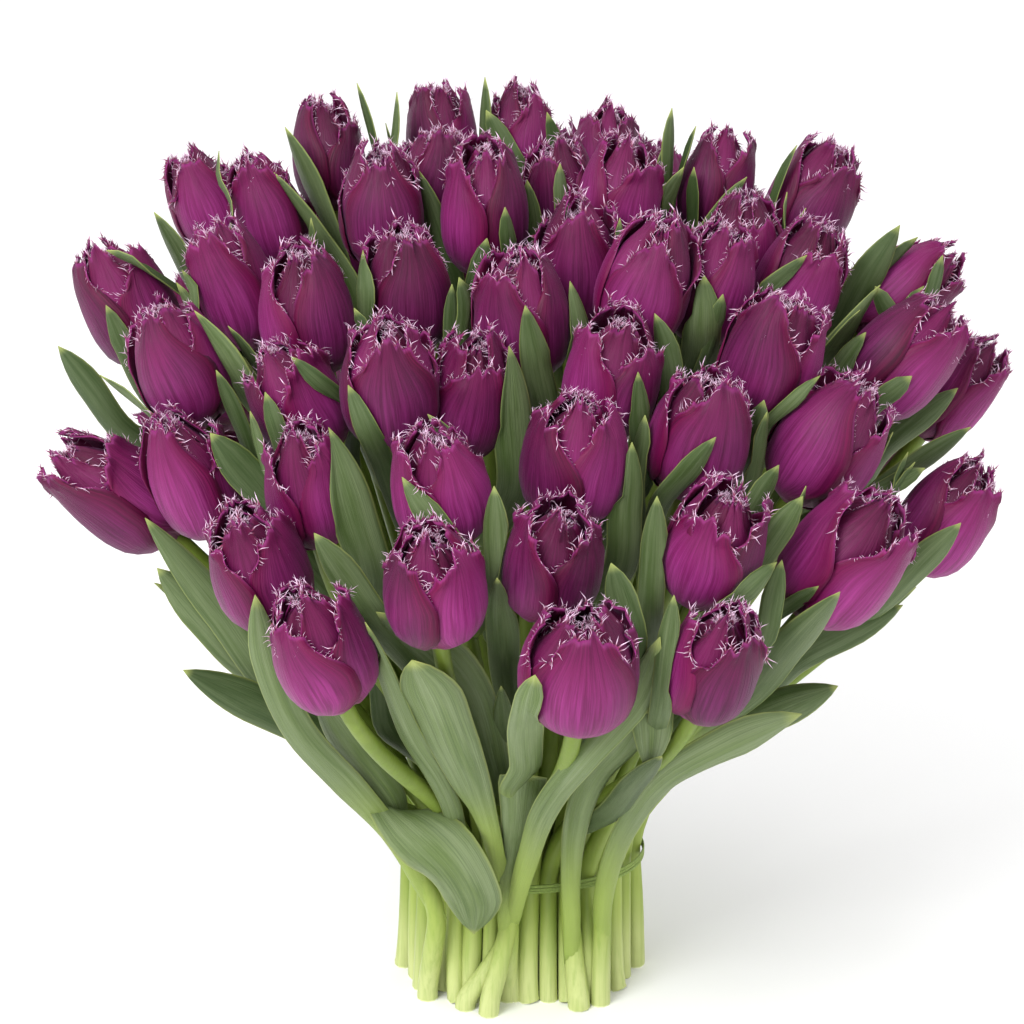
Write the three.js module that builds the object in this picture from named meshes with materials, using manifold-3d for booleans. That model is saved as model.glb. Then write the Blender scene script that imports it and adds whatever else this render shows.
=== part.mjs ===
// A standing, hand-tied bouquet of fringed tulips: 75 closed purple blooms with fringed petal edges on a low dome,
// lance-shaped leaves between them, and their stems bound by one thin band and cut level, so that it stands on them.
// Millimetres, +Z up. The origin is on the standing plane, at the middle of the middle stem's cut end.
import * as THREE from "three";
import { mergeVertices } from "three/addons/utils/BufferGeometryUtils.js";
import Module from "manifold-3d";

const wasm = await Module();
wasm.setup();
const { Manifold, Mesh } = wasm;
const { degToRad, lerp } = THREE.MathUtils;

// ---- driving dimensions ---------------------------------------------------------------------------------------
const STEM_R = 4.1;
const STEM_NECK_R = 3.3; // where a stem meets its bloom
const STEM_SIDES = 5;
const STEM_PITCH = new THREE.Vector2(7.8, 9.4); // between stems in a row, which press together, and between rows
const BUNDLE_ASPECT = 1.35; // the bundle's width against its depth
const FOOT_SPREAD = new THREE.Vector2(1.04, 1.12); // of the cut ends, against the stems inside the band
const FOOT_SCATTER = 1.3; // how far a cut end strays sideways
const BAND_Z = 56;
const BAND_HEIGHT = 4;
const BAND_THICK = 1.6;
const LEAF_THICK = 1.6; // along the midrib; a leaf thins out to its edges
const LEAF_FOLD = 0.16; // how far a leaf's edges turn towards the stem, against its half width
const LEAF_TWIST = 14; // degrees, the most that a leaf turns about its own rib
const LEAF_DROP = 28; // a leaf leaves its stem this far below the lowest stretch that shows
const LOWEST_LEAF_ROOT = 68;
const CLEARANCE = 0.34; // between pieces that touch
const SEED = 7;

// The front viewpoint, from which the places of the heads and leaves are stated: how far it stands from the middle,
// its angle above the horizon, the point it looks at, and the grid on which it measures.
const VIEW = { distance: 1300, elevation: degToRad(20), height: 208, side: -3.7, middle: 512, unit: 0.41 };

// Front heads: across and down in the viewpoint's grid, depth behind the axis in mm, lean to the right in degrees,
// width and length in mm.
const FRONT_HEADS = [
  [580, 668, -160, 4, 45, 52], [712, 664, -140, 17, 36, 50], [321, 650, -135, -20, 39, 52],
  [434, 586, -140, -5, 39, 50], [553, 562, -122, 10, 38, 50], [714, 546, -112, 17, 38, 53],
  [259, 568, -100, -19, 38, 54], [845, 558, -88, 35, 45, 60], [440, 487, -104, -10, 38, 50],
  [574, 458, -88, 6, 42, 54], [308, 488, -78, -10, 34, 52], [192, 475, -62, -21, 36, 56],
  [118, 492, -22, -52, 39, 60], [700, 436, -72, 14, 40, 54], [828, 442, -52, 33, 43, 58],
  [945, 518, -30, 32, 36, 52], [297, 402, -48, -28, 36, 50], [390, 385, -62, -3, 39, 52],
  [470, 396, -60, 8, 33, 54], [612, 375, -56, 12, 38, 52], [180, 366, -22, -20, 38, 54],
  [771, 358, -38, 20, 40, 52], [902, 358, -8, 42, 40, 56], [957, 390, 28, 38, 30, 50],
  [306, 314, -22, -8, 38, 54], [408, 290, -15, -6, 36, 52], [521, 318, -40, -2, 39, 54],
  [128, 305, 25, -26, 38, 54], [235, 288, 12, -18, 34, 54], [646, 283, -20, 16, 38, 56],
  [712, 284, -14, 12, 34, 52], [577, 264, 0, 0, 36, 54], [207, 203, 72, -22, 32, 46],
  [267, 215, 48, -18, 32, 50], [381, 208, 22, -3, 35, 52], [484, 210, 18, 0, 36, 56],
  [619, 198, 36, 10, 34, 50], [562, 195, 44, -6, 30, 46], [716, 185, 66, 10, 32, 46],
  [812, 200, 62, 24, 36, 52], [742, 252, 30, 4, 34, 48], [801, 280, 8, 24, 36, 52], [905, 292, 36, 50, 34, 52],
  [328, 155, 82, -6, 31, 48], [441, 138, 88, -2, 31, 46], [520, 140, 80, 0, 29, 46], [606, 158, 86, 6, 30, 44],
  [432, 183, 52, 4, 30, 46],
];

// Front heads that press together and count as one piece, by their number in the list above.
const PRESSED_FRONT = [[18, 19], [30, 31], [33, 34], [12, 13], [7, 11], [17, 25], [15, 22], [37, 38], [41, 42]];

// Heads at the back stand in rows of pressed bunches: distance from the middle, height, lean outwards in degrees, and
// each bunch's bearing from straight back with its number of heads.
const BACK_ROWS = [
  { reach: 118, height: 312, lean: 20, bunches: [[-54, 2], [-18, 2], [18, 2], [54, 2]] },
  { reach: 146, height: 264, lean: 34, bunches: [[-68, 2], [-34, 2], [0, 2], [34, 2], [68, 2]] },
  { reach: 156, height: 208, lean: 48, bunches: [[-62, 3], [-20, 2], [20, 2], [62, 2]] },
];
const BACK_HEAD = { width: 40, length: 52, spacing: 37 };
const FRONT_TIP = 17; // degrees that the foremost head tips forward
const PRESS = 2.5; // how deep two heads of a bunch press into each other

// Front leaves: the tip's and the lowest visible stretch's place in the grid, width in mm, and where it isn't that of
// the heads around it, the tip's depth behind the axis in mm.
const FRONT_LEAVES = [
  [357, 83, 378, 165, 10], [397, 92, 390, 165, 9], [485, 77, 480, 160, 10], [486, 110, 520, 175, 10],
  [672, 108, 668, 185, 10], [285, 127, 335, 245, 15], [154, 212, 195, 290, 12], [273, 172, 350, 290, 14],
  [684, 167, 628, 255, 13], [900, 225, 835, 345, 15], [918, 237, 880, 275, 9], [808, 255, 715, 350, 13],
  [866, 332, 825, 390, 10], [912, 376, 875, 405, 9], [958, 388, 885, 450, 11], [971, 427, 880, 490, 10],
  [925, 468, 875, 495, 8], [961, 523, 885, 600, 13, -62], [903, 605, 800, 660, 13, -40],
  [840, 592, 740, 705, 16, -128], [777, 562, 715, 615, 10], [803, 496, 755, 565, 11], [779, 465, 745, 520, 9],
  [767, 412, 752, 495, 9], [716, 437, 660, 505, 9], [657, 496, 650, 610, 11], [632, 442, 620, 570, 14],
  [638, 372, 643, 480, 9], [509, 346, 515, 490, 16], [525, 305, 548, 425, 12], [570, 281, 582, 380, 12],
  [487, 238, 472, 300, 9], [527, 180, 532, 265, 10], [419, 171, 452, 285, 12], [364, 250, 368, 330, 9],
  [459, 277, 478, 335, 9], [192, 311, 262, 420, 16], [106, 305, 145, 390, 10], [58, 346, 120, 430, 13],
  [210, 433, 275, 510, 15], [326, 427, 372, 585, 18], [348, 385, 385, 470, 10], [402, 477, 460, 560, 11],
  [494, 486, 496, 590, 11], [314, 533, 375, 620, 13], [497, 578, 508, 695, 13, -142], [611, 563, 632, 640, 12],
  [674, 595, 662, 700, 9], [501, 686, 508, 775, 9, -116], [145, 518, 290, 700, 15, -70],
  [157, 568, 250, 665, 17, -60], [183, 670, 330, 740, 17, -75], [838, 686, 712, 738, 17, -80],
  [704, 275, 697, 370, 16], [645, 314, 672, 400, 12],
];

// Leaves whose line isn't straight: places along the rib from the root to the tip, each across, down and depth, then
// the widths in mm at all of them but the tip. The second one folds over in front of the stems.
const SHAPED_LEAVES = [
  {
    rib: [[495, 885, -48], [485, 832, -70], [470, 790, -92], [450, 745, -113], [432, 700, -130], [412, 660, -142]],
    widths: [8, 12, 17, 23, 25],
  },
  {
    rib: [[382, 802, -56], [408, 824, -68], [440, 853, -74], [470, 899, -66], [474, 934, -54]],
    widths: [14, 24, 30, 26],
  },
  {
    rib: [[430, 925, -42], [398, 850, -54], [350, 790, -72], [300, 735, -92], [268, 665, -112], [255, 595, -128]],
    widths: [9, 12, 14, 14, 13],
  },
  {
    rib: [[496, 950, -39], [505, 905, -48], [514, 860, -58], [520, 815, -80], [523, 784, -94], [525, 774, -97]],
    widths: [7, 8, 11, 16, 20],
  },
  {
    rib: [[503, 930, -43], [523, 870, -66], [550, 803, -114], [592, 752, -144], [632, 705, -138], [660, 637, -150]],
    widths: [8, 10, 11, 11, 13],
  },
  {
    rib: [[582, 965, -38], [573, 890, -50], [576, 830, -70], [594, 780, -98], [624, 745, -124], [650, 708, -134]],
    widths: [9, 9, 11, 13, 14],
  },
  {
    rib: [[616, 712, -96], [634, 694, -116], [650, 694, -130], [653, 722, -133], [649, 773, -128]],
    widths: [12, 16, 19, 16],
  },
  {
    rib: [
      [597, 960, -38], [603, 905, -46], [618, 850, -64], [642, 808, -88], [682, 772, -116], [740, 742, -122],
      [802, 714, -116],
    ],
    widths: [8, 9, 10, 12, 17, 19],
  },
  {
    rib: [[412, 850, -46], [392, 800, -58], [352, 748, -74], [316, 694, -92]],
    widths: [9, 13, 17],
  },
  {
    rib: [[460, 850, -52], [452, 813, -70], [437, 780, -90], [410, 738, -110], [389, 687, -127], [365, 622, -141]],
    widths: [8, 9, 9, 10, 9],
  },
  {
    rib: [[490, 800, -64], [482, 745, -86], [447, 668, -113], [376, 612, -120]],
    widths: [10, 20, 22],
  },
  {
    rib: [[522, 800, -84], [526, 770, -112], [525, 735, -146], [529, 705, -170], [535, 675, -182]],
    widths: [9, 13, 14, 12],
  },
];

// Leaves at the back stand in tiers, in the gaps between bunches and as a skirt below them: their tips' distance from
// the middle and height, the length that shows, the range of widths, and the bearing of each from straight back.
const BACK_LEAVES = [
  { reach: 98, height: 352, length: 84, width: [12, 15], bearings: [-38, 0, 38] },
  { reach: 138, height: 304, length: 96, width: [14, 18], bearings: [-86, -51, -17, 17, 51, 86] },
  { reach: 158, height: 244, length: 100, width: [15, 20], bearings: [-86, -42, 0, 42, 86] },
  { reach: 156, height: 178, length: 104, width: [17, 22], bearings: [-88, -54, -18, 18, 54, 88] },
];

// ---- small helpers --------------------------------------------------------------------------------------------
const random = seededRandom(SEED);

function seededRandom(seed) {
  let state = seed;
  return () => {
    state = (state * 16807) % 2147483647;
    return state / 2147483647;
  };
}

const vec = (x, y, z) => new THREE.Vector3(x, y, z);
const between = (low, high) => lerp(low, high, random());

// The point seen at (across, down) in the front viewpoint's grid that lies at a depth behind the axis.
function placeAt(across, down, depth) {
  const eye = eyePoint();
  const ray = sightLine(across, down);
  return ray.multiplyScalar((depth - eye.y) / ray.y).add(eye);
}

function eyePoint() {
  const { distance, elevation, height, side } = VIEW;
  return vec(side, -distance * Math.cos(elevation), height + distance * Math.sin(elevation));
}

function sightLine(across, down) {
  const { distance, elevation, middle, unit } = VIEW;
  const right = ((across - middle) * unit) / distance;
  const up = ((middle - down) * unit) / distance;
  const ahead = vec(0, Math.cos(elevation), -Math.sin(elevation));
  return ahead.add(vec(right, up * Math.sin(elevation), up * Math.cos(elevation)));
}

// ---- solids ---------------------------------------------------------------------------------------------------
function toSolid(geometry) {
  const plain = geometry.clone();
  plain.deleteAttribute("normal");
  plain.deleteAttribute("uv");
  const merged = mergeVertices(plain, 1e-3);
  return new Manifold(new Mesh({
    numProp: 3,
    vertProperties: Float32Array.from(merged.attributes.position.array),
    triVerts: Uint32Array.from(merged.index.array),
  }));
}

function toGeometry(solid) {
  const mesh = solid.getMesh();
  const geometry = new THREE.BufferGeometry();
  geometry.setAttribute("position", new THREE.BufferAttribute(Float32Array.from(mesh.vertProperties), 3));
  geometry.setIndex(Array.from(mesh.triVerts));
  geometry.computeVertexNormals();
  return geometry;
}

const largestBody = (solid) => solid.decompose().sort((a, b) => b.volume() - a.volume())[0];
const joined = (solids) => Manifold.union(solids);

// One closed body without loose scraps, also once its vertices are rounded.
const oneBody = (solid) => toGeometry(largestBody(toSolid(toGeometry(largestBody(solid)))));

function touches(a, b) {
  const boxA = a.boundingBox();
  const boxB = b.boundingBox();
  return [0, 1, 2].every((i) => boxA.min[i] <= boxB.max[i] && boxB.min[i] <= boxA.max[i]);
}

function cutBy(solid, others) {
  const near = others.filter((other) => touches(solid, other));
  return near.length ? solid.subtract(joined(near)) : solid;
}

// A closed surface through rings of points, each ring a list that may be one point, with its faces pointing out when
// the rings follow one another against the turn of their points.
function loft(rings) {
  const positions = rings.flat().flatMap((p) => [p.x, p.y, p.z]);
  const faces = [];
  let start = 0;
  rings.slice(1).forEach((ring, k) => {
    stitch(faces, start, rings[k].length, start + rings[k].length, ring.length);
    start += rings[k].length;
  });
  const geometry = new THREE.BufferGeometry();
  geometry.setAttribute("position", new THREE.Float32BufferAttribute(positions, 3));
  geometry.setIndex(faces);
  return geometry;
}

function stitch(faces, a, countA, b, countB) {
  const stepsA = countA > 1 ? countA : 0;
  const stepsB = countB > 1 ? countB : 0;
  let i = 0;
  let j = 0;
  while (i < stepsA || j < stepsB) {
    if (j >= stepsB || (i < stepsA && (i + 0.5) / stepsA <= (j + 0.5) / stepsB)) {
      faces.push(a + (i % countA), a + ((i + 1) % countA), b + (j % countB));
      i += 1;
    } else {
      faces.push(a + (i % countA), b + ((j + 1) % countB), b + (j % countB));
      j += 1;
    }
  }
}

// ---- heads ----------------------------------------------------------------------------------------------------
// Heads towards the front tip forward and those behind stand straighter; "lean" is their slant as the front sees it.
function frontHead([across, down, depth, lean, width, length]) {
  const forward = degToRad((-depth / 165) * FRONT_TIP);
  const slant = Math.tan(degToRad(lean)) * Math.cos(VIEW.elevation + forward);
  const axis = vec(slant, -Math.sin(forward), Math.cos(forward)).normalize();
  return { centre: placeAt(across, down, depth), axis, width, length, facing: vec(0, -1, 0), front: true };
}

function backHeads() {
  return BACK_ROWS.flatMap(({ reach, height, lean, bunches }) =>
    bunches.flatMap(([bearing, count]) => Array.from({ length: count }, (_, k) => {
      const turn = degToRad(bearing) + ((k - (count - 1) / 2) * BACK_HEAD.spacing) / reach;
      const tilt = degToRad(lean);
      const facing = vec(Math.sin(turn), Math.cos(turn), 0);
      const centre = facing.clone().multiplyScalar(reach).setZ(height + between(-7, 7));
      const axis = facing.clone().multiplyScalar(Math.sin(tilt)).add(vec(0, 0, Math.cos(tilt)));
      const { width, length } = BACK_HEAD;
      return { centre, axis, width, length, facing, front: false, startsBunch: k === 0 };
    })));
}

// The heads' numbers, counted from 0, gathered into the pieces that they form.
function bunchesOf(heads) {
  const bunches = [];
  heads.forEach((head, k) => {
    const pressed = PRESSED_FRONT.find((pair) => pair[1] === k + 1);
    if (pressed) bunches.find((bunch) => bunch[0] === pressed[0] - 1).push(k);
    else if (head.front || head.startsBunch) bunches.push([k]);
    else bunches.at(-1).push(k);
  });
  return bunches;
}

// Heads that would press into each other give way along the line of sight, the nearer one forwards. Those of a bunch
// move until they press together lightly.
function settleHeads(heads, bunches) {
  const eye = eyePoint();
  const areNeighbours = (i, j) =>
    bunches.some((bunch) => bunch.includes(i) && bunch.indexOf(j) === bunch.indexOf(i) + 1);
  for (let round = 0; round < 60; round += 1) {
    heads.forEach((a, i) => heads.slice(i + 1).forEach((b, k) => {
      const pressed = areNeighbours(i, i + 1 + k);
      const overlap = coreOverlap(a, b) - (pressed ? PRESS : 0);
      if (overlap <= 0 && !pressed) return;
      const [near, far] = a.centre.y < b.centre.y ? [a, b] : [b, a];
      const inSight = a.front && b.front;
      const away = near.centre.clone().sub(inSight ? eye : far.centre).normalize();
      const share = (inSight ? -0.3 : 0.3) * overlap;
      if (inSight || !near.front) near.centre.addScaledVector(away, share);
      if (inSight || !far.front) far.centre.addScaledVector(away, -share);
    }));
  }
}

// How deep two heads' cores, each a row of three balls along its axis, reach into each other.
function coreOverlap(a, b) {
  const reach = (a.width + b.width) * 0.5;
  if (a.centre.distanceTo(b.centre) > a.length + b.length) return -reach;
  const ballsA = coreBalls(a);
  const ballsB = coreBalls(b);
  return Math.max(...ballsA.flatMap((p) => ballsB.map((q) => reach * 0.93 - p.distanceTo(q))));
}

const coreBalls = ({ centre, axis, length, width }) =>
  [-1, 0, 1].map((k) => centre.clone().addScaledVector(axis, (k * (length - width)) / 2 - 1));

// ---- bloom ----------------------------------------------------------------------------------------------------
// Rings from the base to the petals' tips and down into the mouth: share of the length, and share of the half width.
const BLOOM_RINGS = {
  foot: [0.07, 0.54],
  belly: [0.36, 1.0],
  shoulder: [0.76, 0.84],
  rim: [0.98, 0.6],
  throat: [0.66, 0],
};
const PETAL_EDGE = 1.03; // an outer petal's free edge stands out
const INNER_PETAL = 0.87; // an inner petal lies deeper between two outer ones
const FRINGE_NOTCH = [0.9, 1.14]; // the rim between two teeth of the fringe: lower and wider

function bloomSolid(head, grow = 0) {
  const { axis, width, length, facing, roll } = head;
  const radius = width / 2 + grow;
  const out = facing.clone().addScaledVector(axis, -facing.dot(axis)).normalize();
  const across = axis.clone().cross(out);
  const base = head.centre.clone().addScaledVector(axis, -length / 2 - grow);
  const span = length + 2 * grow;
  const point = (share, size, turn) => base.clone()
    .addScaledVector(axis, share * span)
    .addScaledVector(out, size * radius * Math.cos(turn + roll))
    .addScaledVector(across, size * radius * Math.sin(turn + roll));
  const ring = (count, shape) => Array.from({ length: count }, (_, k) => {
    const [share, size] = shape(k);
    return point(share, size, (k / count) * 2 * Math.PI);
  });
  const { foot, belly, shoulder, rim, throat } = BLOOM_RINGS;
  const layer = (k) => (k % 4 === 2 ? INNER_PETAL : PETAL_EDGE - (k % 4 === 0 ? 0.03 : 0));
  return toSolid(loft([
    [point(0, 0, 0)],
    ring(6, () => foot),
    ring(12, (k) => [belly[0], belly[1] * layer(k)]),
    ring(12, (k) => [shoulder[0], shoulder[1] * layer(k)]),
    ring(head.front ? 18 : 12, (k) => (k % 2 ? [rim[0] * FRINGE_NOTCH[0], rim[1] * FRINGE_NOTCH[1]] : rim)),
    [point(throat[0], throat[1], 0)],
  ]));
}

// ---- stems ----------------------------------------------------------------------------------------------------
// Stems stand in rows, every other row shifted by half a pitch; the one in the middle comes first.
function stemSlots(count) {
  const slots = [];
  for (let row = -12; row <= 12; row += 1) {
    for (let column = -12; column <= 12; column += 1) {
      slots.push(new THREE.Vector2((column + (row % 2 ? 0.5 : 0)) * STEM_PITCH.x, row * STEM_PITCH.y));
    }
  }
  const size = (slot) => Math.hypot(slot.x, slot.y * BUNDLE_ASPECT);
  return slots.sort((a, b) => size(a) - size(b)).slice(0, count);
}

// Each head takes the slot that lies under it, so that stems don't cross: slots are swapped while that helps.
function takeSlots(heads, slots) {
  const squeeze = 0.24;
  const goal = heads.map(({ centre }) => new THREE.Vector2(centre.x, centre.y / BUNDLE_ASPECT).multiplyScalar(squeeze));
  const taken = slots.slice();
  const cost = (i, slot) => goal[i].distanceToSquared(slot);
  for (let round = 0; round < 12; round += 1) {
    heads.forEach((_, i) => heads.forEach((__, j) => {
      if (cost(i, taken[j]) + cost(j, taken[i]) < cost(i, taken[i]) + cost(j, taken[j]) - 1e-6) {
        [taken[i], taken[j]] = [taken[j], taken[i]];
      }
    }));
  }
  return taken;
}

function addStem(head, slot) {
  const atBand = vec(slot.x, slot.y, BAND_Z);
  const stray = slot.length() > 0 ? between(-FOOT_SCATTER, FOOT_SCATTER) : 0; // the middle stem stands straight
  const atFoot = vec(atBand.x * FOOT_SPREAD.x + stray, atBand.y * FOOT_SPREAD.y, 0);
  const top = head.centre.clone().addScaledVector(head.axis, -head.length / 2 - CLEARANCE);
  const run = atBand.distanceTo(top);
  const rise = vec(0, 0, 1).addScaledVector(top.clone().sub(atBand).normalize(), 0.35).setLength(run * 0.27);
  const arrive = head.axis.clone().addScaledVector(top.clone().sub(atBand).normalize(), 0.6).setLength(run * 0.3);
  const curve = new THREE.CubicBezierCurve3(atBand, atBand.clone().add(rise), top.clone().sub(arrive), top);
  head.stem = { row: Math.round(slot.y / STEM_PITCH.y), atFoot, atBand, curve };
}

// Where a stem is divided above the band: a straighter one needs fewer rings.
const BENT_CUTS = [0.3, 0.65, 1];
const STRAIGHT_CUTS = [0.5, 1];
const STRAIGHT_WITHIN = degToRad(30);

function stemSolid({ stem, axis }, grow = 0) {
  const { atFoot, atBand, curve } = stem;
  const bend = axis.angleTo(vec(0, 0, 1));
  const cuts = bend < STRAIGHT_WITHIN ? STRAIGHT_CUTS : BENT_CUTS;
  const points = [atFoot, atBand, ...cuts.map((t) => curve.getPoint(t))];
  const radii = points.map((_, k) => lerp(STEM_R, STEM_NECK_R, Math.max(0, k - 1) / (points.length - 2)) + grow);
  return toSolid(loft([[points[0]], ...tubeRings(points, radii), [points.at(-1)]]));
}

function tubeRings(points, radii) {
  const sides = Array.from({ length: STEM_SIDES }, (_, k) => (k / STEM_SIDES) * 2 * Math.PI);
  const evenArea = Math.sqrt((2 * Math.PI) / (STEM_SIDES * Math.sin((2 * Math.PI) / STEM_SIDES)));
  return points.map((point, k) => {
    const along = points[Math.min(k + 1, points.length - 1)].clone().sub(points[Math.max(k - 1, 0)]).normalize();
    if (k < 2) along.set(0, 0, 1); // the cut end is level, and so is the ring inside the band
    const right = vec(0, 1, 0).cross(along).normalize();
    const up = along.clone().cross(right);
    return sides.map((turn) => point.clone()
      .addScaledVector(right, radii[k] * evenArea * Math.cos(turn))
      .addScaledVector(up, radii[k] * evenArea * Math.sin(turn)));
  });
}

// ---- leaves ---------------------------------------------------------------------------------------------------
// The depth of a leaf that shows at (across, down): a little in front of the heads around it.
function depthAmong(across, down, heads) {
  const near = 36;
  let sum = 0;
  let weight = 1e-9;
  heads.filter((head) => head.front).forEach((head) => {
    const share = Math.exp(-((head.across - across) ** 2 + (head.down - down) ** 2) / (2 * near * near));
    sum += share * head.centre.y;
    weight += share;
  });
  return sum / weight - 8;
}

// A leaf passes in front of the heads that stand behind its own depth, and behind the others.
function clearDepth(across, down, depth, heads, width) {
  const eye = eyePoint();
  const sight = sightLine(across, down).normalize();
  const behind = heads.filter((head) => head.centre.y > depth - 2);
  return Math.min(depth, ...behind.map((head) => entryDepth(eye, sight, head, 1.5 + width * 0.1)));
}

// Where a line of sight enters a head, taken as an ellipsoid that is larger by a margin.
function entryDepth(eye, sight, { centre, axis, width, length }, margin) {
  const squash = (v) => {
    const along = v.dot(axis);
    const rest = v.clone().addScaledVector(axis, -along);
    return rest.divideScalar(width / 2 + margin).addScaledVector(axis, along / (length / 2 + margin));
  };
  const from = squash(eye.clone().sub(centre));
  const way = squash(sight);
  const a = way.dot(way);
  const b = from.dot(way);
  const inside = b * b - a * (from.dot(from) - 1);
  if (inside <= 0) return Infinity;
  return eye.y + (sight.y * (-b - Math.sqrt(inside))) / a;
}

// A point is moved out of every head, straight away from that head's axis.
function keepClear(point, heads, margin) {
  for (let round = 0; round < 4; round += 1) {
    heads.forEach(({ centre, axis, width, length }) => {
      const offset = point.clone().sub(centre);
      const along = offset.dot(axis);
      const needed = bloomRadius(along / length + 0.5) * (width / 2) + margin;
      if (needed <= margin) return;
      const rest = offset.clone().addScaledVector(axis, -along);
      if (rest.length() < needed) point.addScaledVector(rest.clone().normalize(), needed - rest.length());
    });
  }
  return point;
}

// A bloom's radius at a share of its length, against its half width.
function bloomRadius(share) {
  const { foot, belly, shoulder } = BLOOM_RINGS;
  const outline = [[-0.06, 0], [0, 0.3], foot, belly, shoulder, [1.03, 0.68], [1.06, 0]];
  const next = outline.findIndex(([place]) => place > share);
  if (next <= 0) return 0;
  const [low, high] = [outline[next - 1], outline[next]];
  return PETAL_EDGE * lerp(low[1], high[1], (share - low[0]) / (high[0] - low[0]));
}

// The rib bends clear of the heads: its places, and the middles between them, move out of every head that they meet.
function settleRib(rib, widths, heads) {
  const margin = LEAF_THICK;
  for (let round = 0; round < 8; round += 1) {
    for (let k = 1; k < rib.length; k += 1) {
      const middle = rib[k].clone().lerp(rib[k - 1], 0.5);
      const shift = keepClear(middle.clone(), heads, margin).sub(middle);
      rib[k].add(shift);
      if (k > 1) rib[k - 1].add(shift);
      keepClear(rib[k], heads, margin);
      if (k < rib.length - 1) clearEdges(rib, k, widths[k] / 2, heads);
    }
  }
}

function clearEdges(rib, k, half, heads) {
  const along = rib[k + 1].clone().sub(rib[k - 1]).normalize();
  const out = leafFacing(rib[k], along, 0, heads);
  const side = along.clone().cross(out).normalize();
  [-half, half].forEach((reach) => {
    const edge = rib[k].clone().addScaledVector(side, reach).addScaledVector(out, -LEAF_FOLD * half);
    const shift = keepClear(edge.clone(), heads, CLEARANCE + 0.4).sub(edge);
    rib[k].addScaledVector(shift, 0.6);
  });
}

// A place on a stem: from -1 at the foot to 0 inside the band, and on to 1 under the bloom.
function stemPoint({ atFoot, atBand, curve }, t) {
  return t < 0 ? atBand.clone().lerp(atFoot, -t) : curve.getPoint(t);
}

// The stem that passes nearest to the goal, which no leaf leaves above the ceiling.
function nearestOnStems(goal, ceiling, heads) {
  let best = null;
  heads.forEach((head) => {
    for (let t = -0.8; t < 0.75; t += 0.03) {
      const point = stemPoint(head.stem, t);
      const above = 5 * Math.max(0, point.z - ceiling);
      const crowd = 4 * (head.stem.leaves ?? 0);
      const inward = Math.max(0, Math.hypot(goal.x, goal.y) - Math.hypot(point.x, point.y));
      const gap = point.distanceTo(goal) + Math.abs(point.z - goal.z) + above + inward + crowd;
      if (!best || gap < best.gap) best = { gap, point, head };
    }
  });
  best.head.stem.leaves = (best.head.stem.leaves ?? 0) + 1;
  return best;
}

function frontLeaf([tipAcross, tipDown, lowAcross, lowDown, width, tipDepth], heads) {
  const among = depthAmong(lerp(lowAcross, tipAcross, 0.6), lerp(lowDown, tipDown, 0.6), heads);
  const at = (f) => {
    const across = lerp(lowAcross, tipAcross, f);
    const down = lerp(lowDown, tipDown, f);
    const own = tipDepth === undefined ? among : lerp(-44, tipDepth, 0.3 + 0.7 * f);
    return placeAt(across, down, clearDepth(across, down, own, heads, width));
  };
  return rootedLeaf([at(0), at(0.5), at(1)], [width * 0.95, width], heads);
}

function rootedLeaf(shown, widths, heads) {
  const low = shown[0];
  const bundle = vec(0, 0, BAND_Z);
  const drop = Math.min(LEAF_DROP, low.z - LOWEST_LEAF_ROOT);
  const goal = low.clone().lerp(bundle, THREE.MathUtils.clamp(drop / (low.z - BAND_Z), 0.2, 0.8));
  const { point, head } = nearestOnStems(goal, low.z - 8, heads);
  const rib = [point, point.clone().lerp(low, 0.5), ...shown];
  const leaf = { row: head.stem.row, rib, widths: [6, widths[0] * 0.9, ...widths] };
  settleRib(rib, leaf.widths, heads);
  return leaf;
}

function shapedLeaf({ rib, widths }, heads) {
  const points = rib.map(([across, down, depth]) =>
    placeAt(across, down, clearDepth(across, down, depth, heads, widths[0])));
  const { point, head } = nearestOnStems(points[0], points[1].z - 8, heads);
  return { row: head.stem.row, rib: [point, ...points], widths: [6, ...widths] };
}

function backLeaf({ reach, height, length, width }, bearing, heads) {
  const turn = degToRad(bearing + between(-5, 5));
  const size = between(...width);
  const out = vec(Math.sin(turn), Math.cos(turn), 0);
  const tip = keepClear(out.clone().multiplyScalar(reach * between(0.95, 1.05)).setZ(height), heads, 3);
  const inward = vec(0, 0, BAND_Z + 20).sub(tip).setLength(length);
  const middle = keepClear(tip.clone().addScaledVector(inward, 0.5), heads, 3);
  const low = keepClear(tip.clone().add(inward), heads, 3);
  return rootedLeaf([low, middle, tip], [size, size], heads);
}

// A blade with a keel outside and a level inside: three corners at each place along the rib between its root, a point
// inside the stem, and its tip.
function leafSolid({ rib, widths, facings }, grow = 0) {
  const rings = facings.slice(1).map((out, index) => {
    const k = index + 1;
    const side = ribDirection(rib, k).cross(out).normalize();
    const half = widths[k] / 2 + 5 * grow; // a thin edge grows most sideways
    const level = out.clone().multiplyScalar(-LEAF_FOLD * (widths[k] / 2) - grow * 0.8 - LEAF_THICK * 0.25);
    const keel = rib[k].clone().addScaledVector(out, LEAF_THICK * 0.75 + grow);
    const edges = [side.clone().multiplyScalar(half), side.clone().multiplyScalar(-half)];
    return [keel, ...edges.map((edge) => edge.add(rib[k]).add(level))];
  });
  const tip = rib.at(-1).clone().addScaledVector(ribDirection(rib, rib.length - 1), 2 * grow);
  const foot = rib[0].clone().addScaledVector(ribDirection(rib, 0), -0.5 - grow);
  return toSolid(loft([[foot], ...rings, [tip]]));
}

const ribDirection = (rib, k) =>
  rib[Math.min(k + 1, rib.length - 1)].clone().sub(rib[Math.max(k - 1, 0)]).normalize();

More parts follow.
